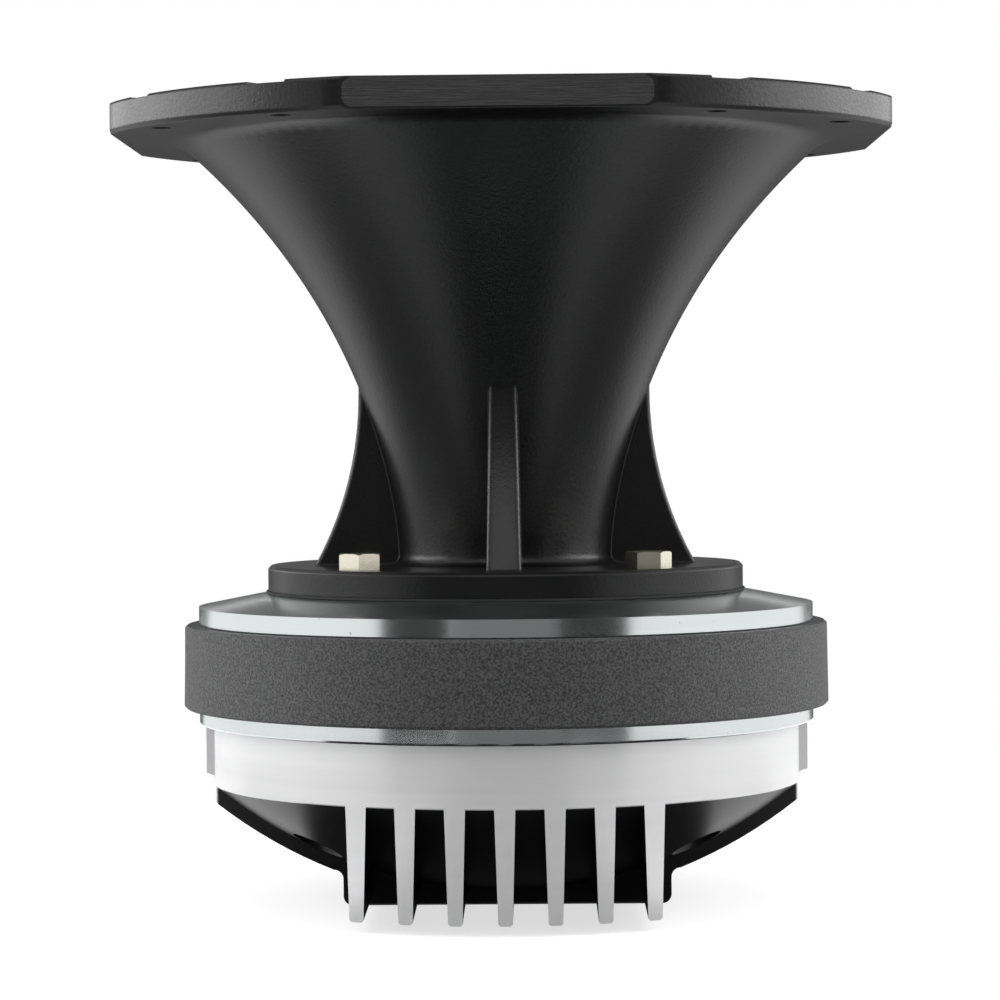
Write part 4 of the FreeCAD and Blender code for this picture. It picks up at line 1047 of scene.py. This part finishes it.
@dataclass
class FlangeBolts(Piece):
    """Four hexagon bolts, one tree's instances on the bolt circle, each left as it was turned."""

    reach: float = 0.03592
    seat: float = 0.0864
    flats: float = 0.010
    head: float = 0.004
    shank: float = 0.003
    shank_length: float = 0.014
    chamfer: float = 0.0001
    columns: int = 96
    turns: tuple[float, ...] = (10.0, 40.0, 30.0, 0.0)

    def shape(self, work: bmesh.types.BMesh, material: bpy.types.Material) -> None:
        """Puts the bolts that the tree makes into the work."""
        base = bpy.data.meshes.new("bolt_places")
        base.from_pydata([(across * self.reach, along * self.reach, self.seat)
                          for across, along in ((1, 1), (-1, 1), (-1, -1), (1, -1))], [], [])
        turns = base.attributes.new("turn", "FLOAT", "POINT")
        turns.data.foreach_set("value", [math.radians(turn) for turn in self.turns])
        work.from_mesh(self._tree().bake(base, material))

    def _tree(self) -> GeometryTree:
        """Builds the tree of one bolt and its instances."""
        tree = GeometryTree("hexagon_bolts", {
            "Flats": self.flats, "Head": self.head, "Shank": self.shank,
            "Shank Length": self.shank_length, "Chamfer": self.chamfer,
            "Columns": self.columns})
        pen = tree.pen

        def profile(row: bpy.types.NodeSocket, angle: bpy.types.NodeSocket) -> tuple:
            """Gives the bolt's radius and level, from the shank's end up to the head's top."""
            half = pen.math("DIVIDE", tree.size("Flats"), 2.0)
            turned = pen.math("SUBTRACT", pen.math("MODULO", angle, math.pi / 3), math.pi / 6)
            side = pen.math("DIVIDE", half, pen.math("COSINE", turned))
            slope = math.sqrt(3.0)
            top = pen.math("ADD", half, pen.math("MULTIPLY", tree.size("Chamfer"), slope))
            crown = pen.math("SUBTRACT", pen.math("ADD", tree.size("Head"),
                                                  tree.size("Chamfer")),
                             pen.math("DIVIDE", pen.math("SUBTRACT", side, half), slope))
            deep = pen.math("MULTIPLY", tree.size("Shank Length"), -1.0)
            radii = (0.0, tree.size("Shank"), tree.size("Shank"), side, side,
                     pen.math("MINIMUM", side, top), 0.0)
            levels = (deep, deep, 0.0, 0.0, pen.math("MINIMUM", tree.size("Head"), crown),
                      tree.size("Head"), tree.size("Head"))
            return self._choose(pen, row, radii), self._choose(pen, row, levels)

        bolt = tree.lathe(tree.size("Columns"), 7, profile)
        turn = pen.put("GeometryNodeInputNamedAttribute", Name="turn")
        turn.data_type = "FLOAT"
        euler = pen.put("ShaderNodeCombineXYZ", Z=turn.outputs[0])
        rotation = pen.put("FunctionNodeEulerToRotation", Euler=euler.outputs[0])
        placed = pen.put("GeometryNodeInstanceOnPoints", Points=tree.size("Geometry"),
                         Instance=bolt, Rotation=rotation.outputs[0])
        tree.close(placed.outputs[0])
        return tree

    @staticmethod
    def _choose(pen: NodePen, index: bpy.types.NodeSocket, options: tuple):
        """Gives the option with a row's number.

        Args:
            pen: The tree's pen.
            index: The row's number.
            options: Numbers or sockets, one for each row.

        Returns:
            The chosen value's socket.
        """
        node = pen.tree.nodes.new("GeometryNodeIndexSwitch")
        node.data_type = "FLOAT"
        while len(node.index_switch_items) < len(options):
            node.index_switch_items.new()
        for place, given in enumerate((index, *options)):
            pen.set(node, place, given)
        return node.outputs[0]


def attach(piece: bpy.types.Object, node: str, slot: str) -> None:
    """Puts a finished piece on the driver in place of a CAD node.

    Args:
        piece: The finished piece.
        node: The CAD node that it stands for.
        slot: The record's material slot.
    """
    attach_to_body(piece, "root")
    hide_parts(node)
    LOG.info("built %s for %s with %s", piece.name, node, slot)


def dress_all(palette: Palette) -> None:
    """Dresses every node of the frame with the finish that the record names.

    Args:
        palette: The finishes.
    """
    kinds = {"horn": HornCasting, "flange_bolts": FlangeBolts}
    for entry in frame["record"]["subparts"]:
        node = entry["node"]
        angle = MACHINED_ANGLE if node in MACHINED else CAST_ANGLE
        kinds.get(node, Piece)(node, entry["material_slot"], angle).build(palette)


@dataclass(frozen=True)
class Panel:
    """A flat studio panel that stands at an angle round the driver, facing it."""

    name: str
    azimuth: float
    width: float
    height: float
    distance: float
    level: float

    def place(self) -> Matrix:
        """Gives the panel's place, with its face turned to the driver."""
        angle = math.radians(self.azimuth)
        spot = Vector((math.sin(angle) * self.distance, -math.cos(angle) * self.distance,
                       self.level))
        facing = (Vector((0, 0, 0.1)) - spot).to_track_quat("-Z", "Y")
        return Matrix.Translation(spot) @ facing.to_matrix().to_4x4()


LAMPS = (
    Panel("lamp_left", -88.0, 1.3, 1.5, 1.25, 0.45),
    Panel("lamp_right", 92.0, 1.3, 1.5, 1.25, 0.45),
)
FLAGS = (
    (Panel("flag_left", -30.0, 0.19, 0.36, 0.45, 0.1), 0.03),
    (Panel("flag_right", 30.0, 0.19, 0.36, 0.45, 0.1), 0.03),
    (Panel("flag_front", 1.0, 0.31, 0.36, 0.46, 0.1), 0.2),
    (Panel("glow_high", 0.0, 0.6, 0.7, 0.6, 0.75), 2.2),
    (Panel("flag_back", 180.0, 2.0, 0.5, 1.2, 0.0), 0.12),
    (Panel("flag_back_high", 180.0, 2.0, 1.8, 1.22, 1.1), 0.15),
    (Panel("glow_left", -92.0, 0.9, 0.2, 1.0, 0.34), 7.0),
    (Panel("glow_right", 92.0, 0.9, 0.2, 1.0, 0.34), 7.0),
    (Panel("glow_far_left", -130.0, 0.45, 0.2, 1.0, 0.34), 3.5),
    (Panel("glow_far_right", 130.0, 0.45, 0.2, 1.0, 0.34), 3.5),
)
CARD_RISE = 0.0004
FLOOR_FLAGS = (
    ("flag_floor_under", 0.02, [(-0.11, -0.17), (0.11, -0.17), (0.085, -0.12), (0.05, 0.05),
                                (-0.05, 0.05), (-0.085, -0.12)]),
    ("flag_floor_front", 0.09, [(-0.2, -1.2), (0.2, -1.2), (0.11, -0.17), (-0.11, -0.17)]),
    ("flag_floor_left", 0.28, [(-0.36, -0.32), (-0.15, -0.32), (-0.15, 0.1), (-0.36, 0.1)]),
    ("flag_floor_right", 0.28, [(0.15, -0.32), (0.36, -0.32), (0.36, 0.1), (0.15, 0.1)]),
    ("flag_floor_back", 0.12, [(0.12, 0.3), (0.8, 1.1), (-0.8, 1.1), (-0.12, 0.3)]),
)


@dataclass
class Studio:
    """Plain pale floor, white surround, two soft lamps and dark flags for the gloss."""

    ambient: float = 0.55
    lamp_power: float = 16.0
    floor_size: float = 6.0
    floor_colour: Colour = (0.62, 0.62, 0.62)
    floor_glow: float = 0.68

    def build(self) -> None:
        """Builds the whole studio."""
        self._world()
        self._floor()
        for lamp in LAMPS:
            self._lamp(lamp)
        for flag, shade in FLAGS:
            half, tall = flag.width / 2, flag.height / 2
            self._card(flag.name, flag.place(), shade,
                       [(-half, -tall), (half, -tall), (half, tall), (-half, tall)])
        ground = Matrix.Translation((0, 0, CARD_RISE))
        for name, shade, outline in FLOOR_FLAGS:
            self._card(name, ground, shade, outline)

    @staticmethod
    def _seen_white(pen: NodePen) -> bpy.types.NodeSocket:
        """Gives 1 for the rays that see the surround as white."""
        path = pen.put("ShaderNodeLightPath")
        seen = [path.outputs[ray.value] for ray in Ray]
        return pen.math("MAXIMUM", pen.math("MAXIMUM", seen[0], seen[1]), seen[2])

    def _world(self) -> None:
        """Lights the surround, white where it is seen."""
        world = bpy.data.worlds.new("surround")
        world.use_nodes = True
        world.node_tree.nodes.clear()
        pen = NodePen(world.node_tree)
        seen = self._seen_white(pen)
        strength = pen.math("ADD", pen.math("MULTIPLY", seen, 1.0 - self.ambient), self.ambient)
        glow = pen.put("ShaderNodeBackground", Strength=strength)
        glow.inputs["Color"].default_value = (1.0, 1.0, 1.0, 1.0)
        pen.put("ShaderNodeOutputWorld", Surface=glow.outputs[0])
        world.cycles.sampling_method = "NONE"
        bpy.context.scene.world = world

    def _floor(self) -> None:
        """Lays the floor, which fades into the surround away from the driver."""
        half = self.floor_size / 2
        mesh = bpy.data.meshes.new("floor")
        mesh.from_pydata([(-half, -half, 0), (half, -half, 0), (half, half, 0),
                          (-half, half, 0)], [], [(0, 1, 2, 3)])
        floor = bpy.data.objects.new("floor", mesh)
        bpy.context.scene.collection.objects.link(floor)
        material, pen = blank_material("pale_floor")
        place = pen.put("ShaderNodeTexCoord").outputs["Object"]
        away = pen.step(pen.vector("LENGTH", place).outputs["Value"], 0.12, 0.45)
        plain = pen.put("ShaderNodeBsdfDiffuse", Color=rgba(self.floor_colour))
        glow = pen.put("ShaderNodeEmission", Strength=self.floor_glow)
        near = pen.put("ShaderNodeAddShader")
        white = pen.put("ShaderNodeEmission", Strength=1.0)
        shown = pen.put("ShaderNodeMixShader", Fac=away)
        every = pen.put("ShaderNodeMixShader", Fac=self._seen_white(pen))
        for node, index, source in ((near, 0, plain), (near, 1, glow), (shown, 1, near),
                                    (shown, 2, white), (every, 1, plain), (every, 2, shown)):
            pen.set(node, index, source.outputs[0])
        pen.put("ShaderNodeOutputMaterial", Surface=every.outputs[0])
        mesh.materials.append(material)

    def _lamp(self, panel: Panel) -> None:
        """Hangs one soft lamp.

        Args:
            panel: The lamp's size and place.
        """
        data = bpy.data.lights.new(panel.name, "AREA")
        data.shape = "RECTANGLE"
        data.size, data.size_y = panel.width, panel.height
        data.energy = self.lamp_power
        lamp = bpy.data.objects.new(panel.name, data)
        lamp.matrix_world = panel.place()
        lamp.visible_glossy = False
        bpy.context.scene.collection.objects.link(lamp)

    @staticmethod
    def _card(name: str, place: Matrix, shade: float, outline: list) -> None:
        """Sets up a flat card that only shows in gloss.

        Args:
            name: The card's name.
            place: Where the card is.
            shade: How light the card looks.
            outline: Its corners, in its own plane.
        """
        mesh = bpy.data.meshes.new(name)
        mesh.from_pydata([(across, along, 0) for across, along in outline], [],
                         [tuple(range(len(outline)))])
        card = bpy.data.objects.new(name, mesh)
        card.matrix_world = place
        bpy.context.scene.collection.objects.link(card)
        material, pen = blank_material(name)
        glow = pen.put("ShaderNodeEmission", Strength=shade)
        pen.put("ShaderNodeOutputMaterial", Surface=glow.outputs[0])
        mesh.materials.append(material)
        card.visible_camera = card.visible_shadow = card.visible_diffuse = False
        card.visible_transmission = False


@dataclass(frozen=True)
class PhotoCamera:
    """The camera at the photograph's place."""

    distance: float = 0.907
    height: float = 0.12086
    lens: float = 126.0
    turn: float = 0.5
    pan: float = 0.08
    pitch: float = 1.146
    roll: float = -0.48

    def build(self) -> None:
        """Makes the camera and gives it to the scene."""
        data = bpy.data.cameras.new("photo_camera")
        data.lens = self.lens
        data.sensor_width = 36.0
        camera = bpy.data.objects.new("photo_camera", data)
        turn = math.radians(self.turn)
        spot = Vector((math.sin(turn) * self.distance, -math.cos(turn) * self.distance,
                       self.height))
        aim = math.radians(self.turn + self.pan)
        pitch = math.radians(self.pitch)
        ahead = Vector((-math.sin(aim) * math.cos(pitch), math.cos(aim) * math.cos(pitch),
                        -math.sin(pitch)))
        facing = ahead.to_track_quat("-Z", "Y").to_matrix().to_4x4()
        roll = Matrix.Rotation(math.radians(self.roll), 4, "Z")
        camera.matrix_world = Matrix.Translation(spot) @ facing @ roll
        bpy.context.scene.collection.objects.link(camera)
        bpy.context.scene.camera = camera


def main() -> None:
    """Builds the driver's dress, the studio and the camera."""
    logging.basicConfig(level=logging.INFO, format="%(name)s %(message)s")
    palette = Palette()
    dress_all(palette)
    Studio().build()
    PhotoCamera().build()
    bpy.context.scene.view_settings.view_transform = "Standard"


if __name__ == "__main__":
    main()
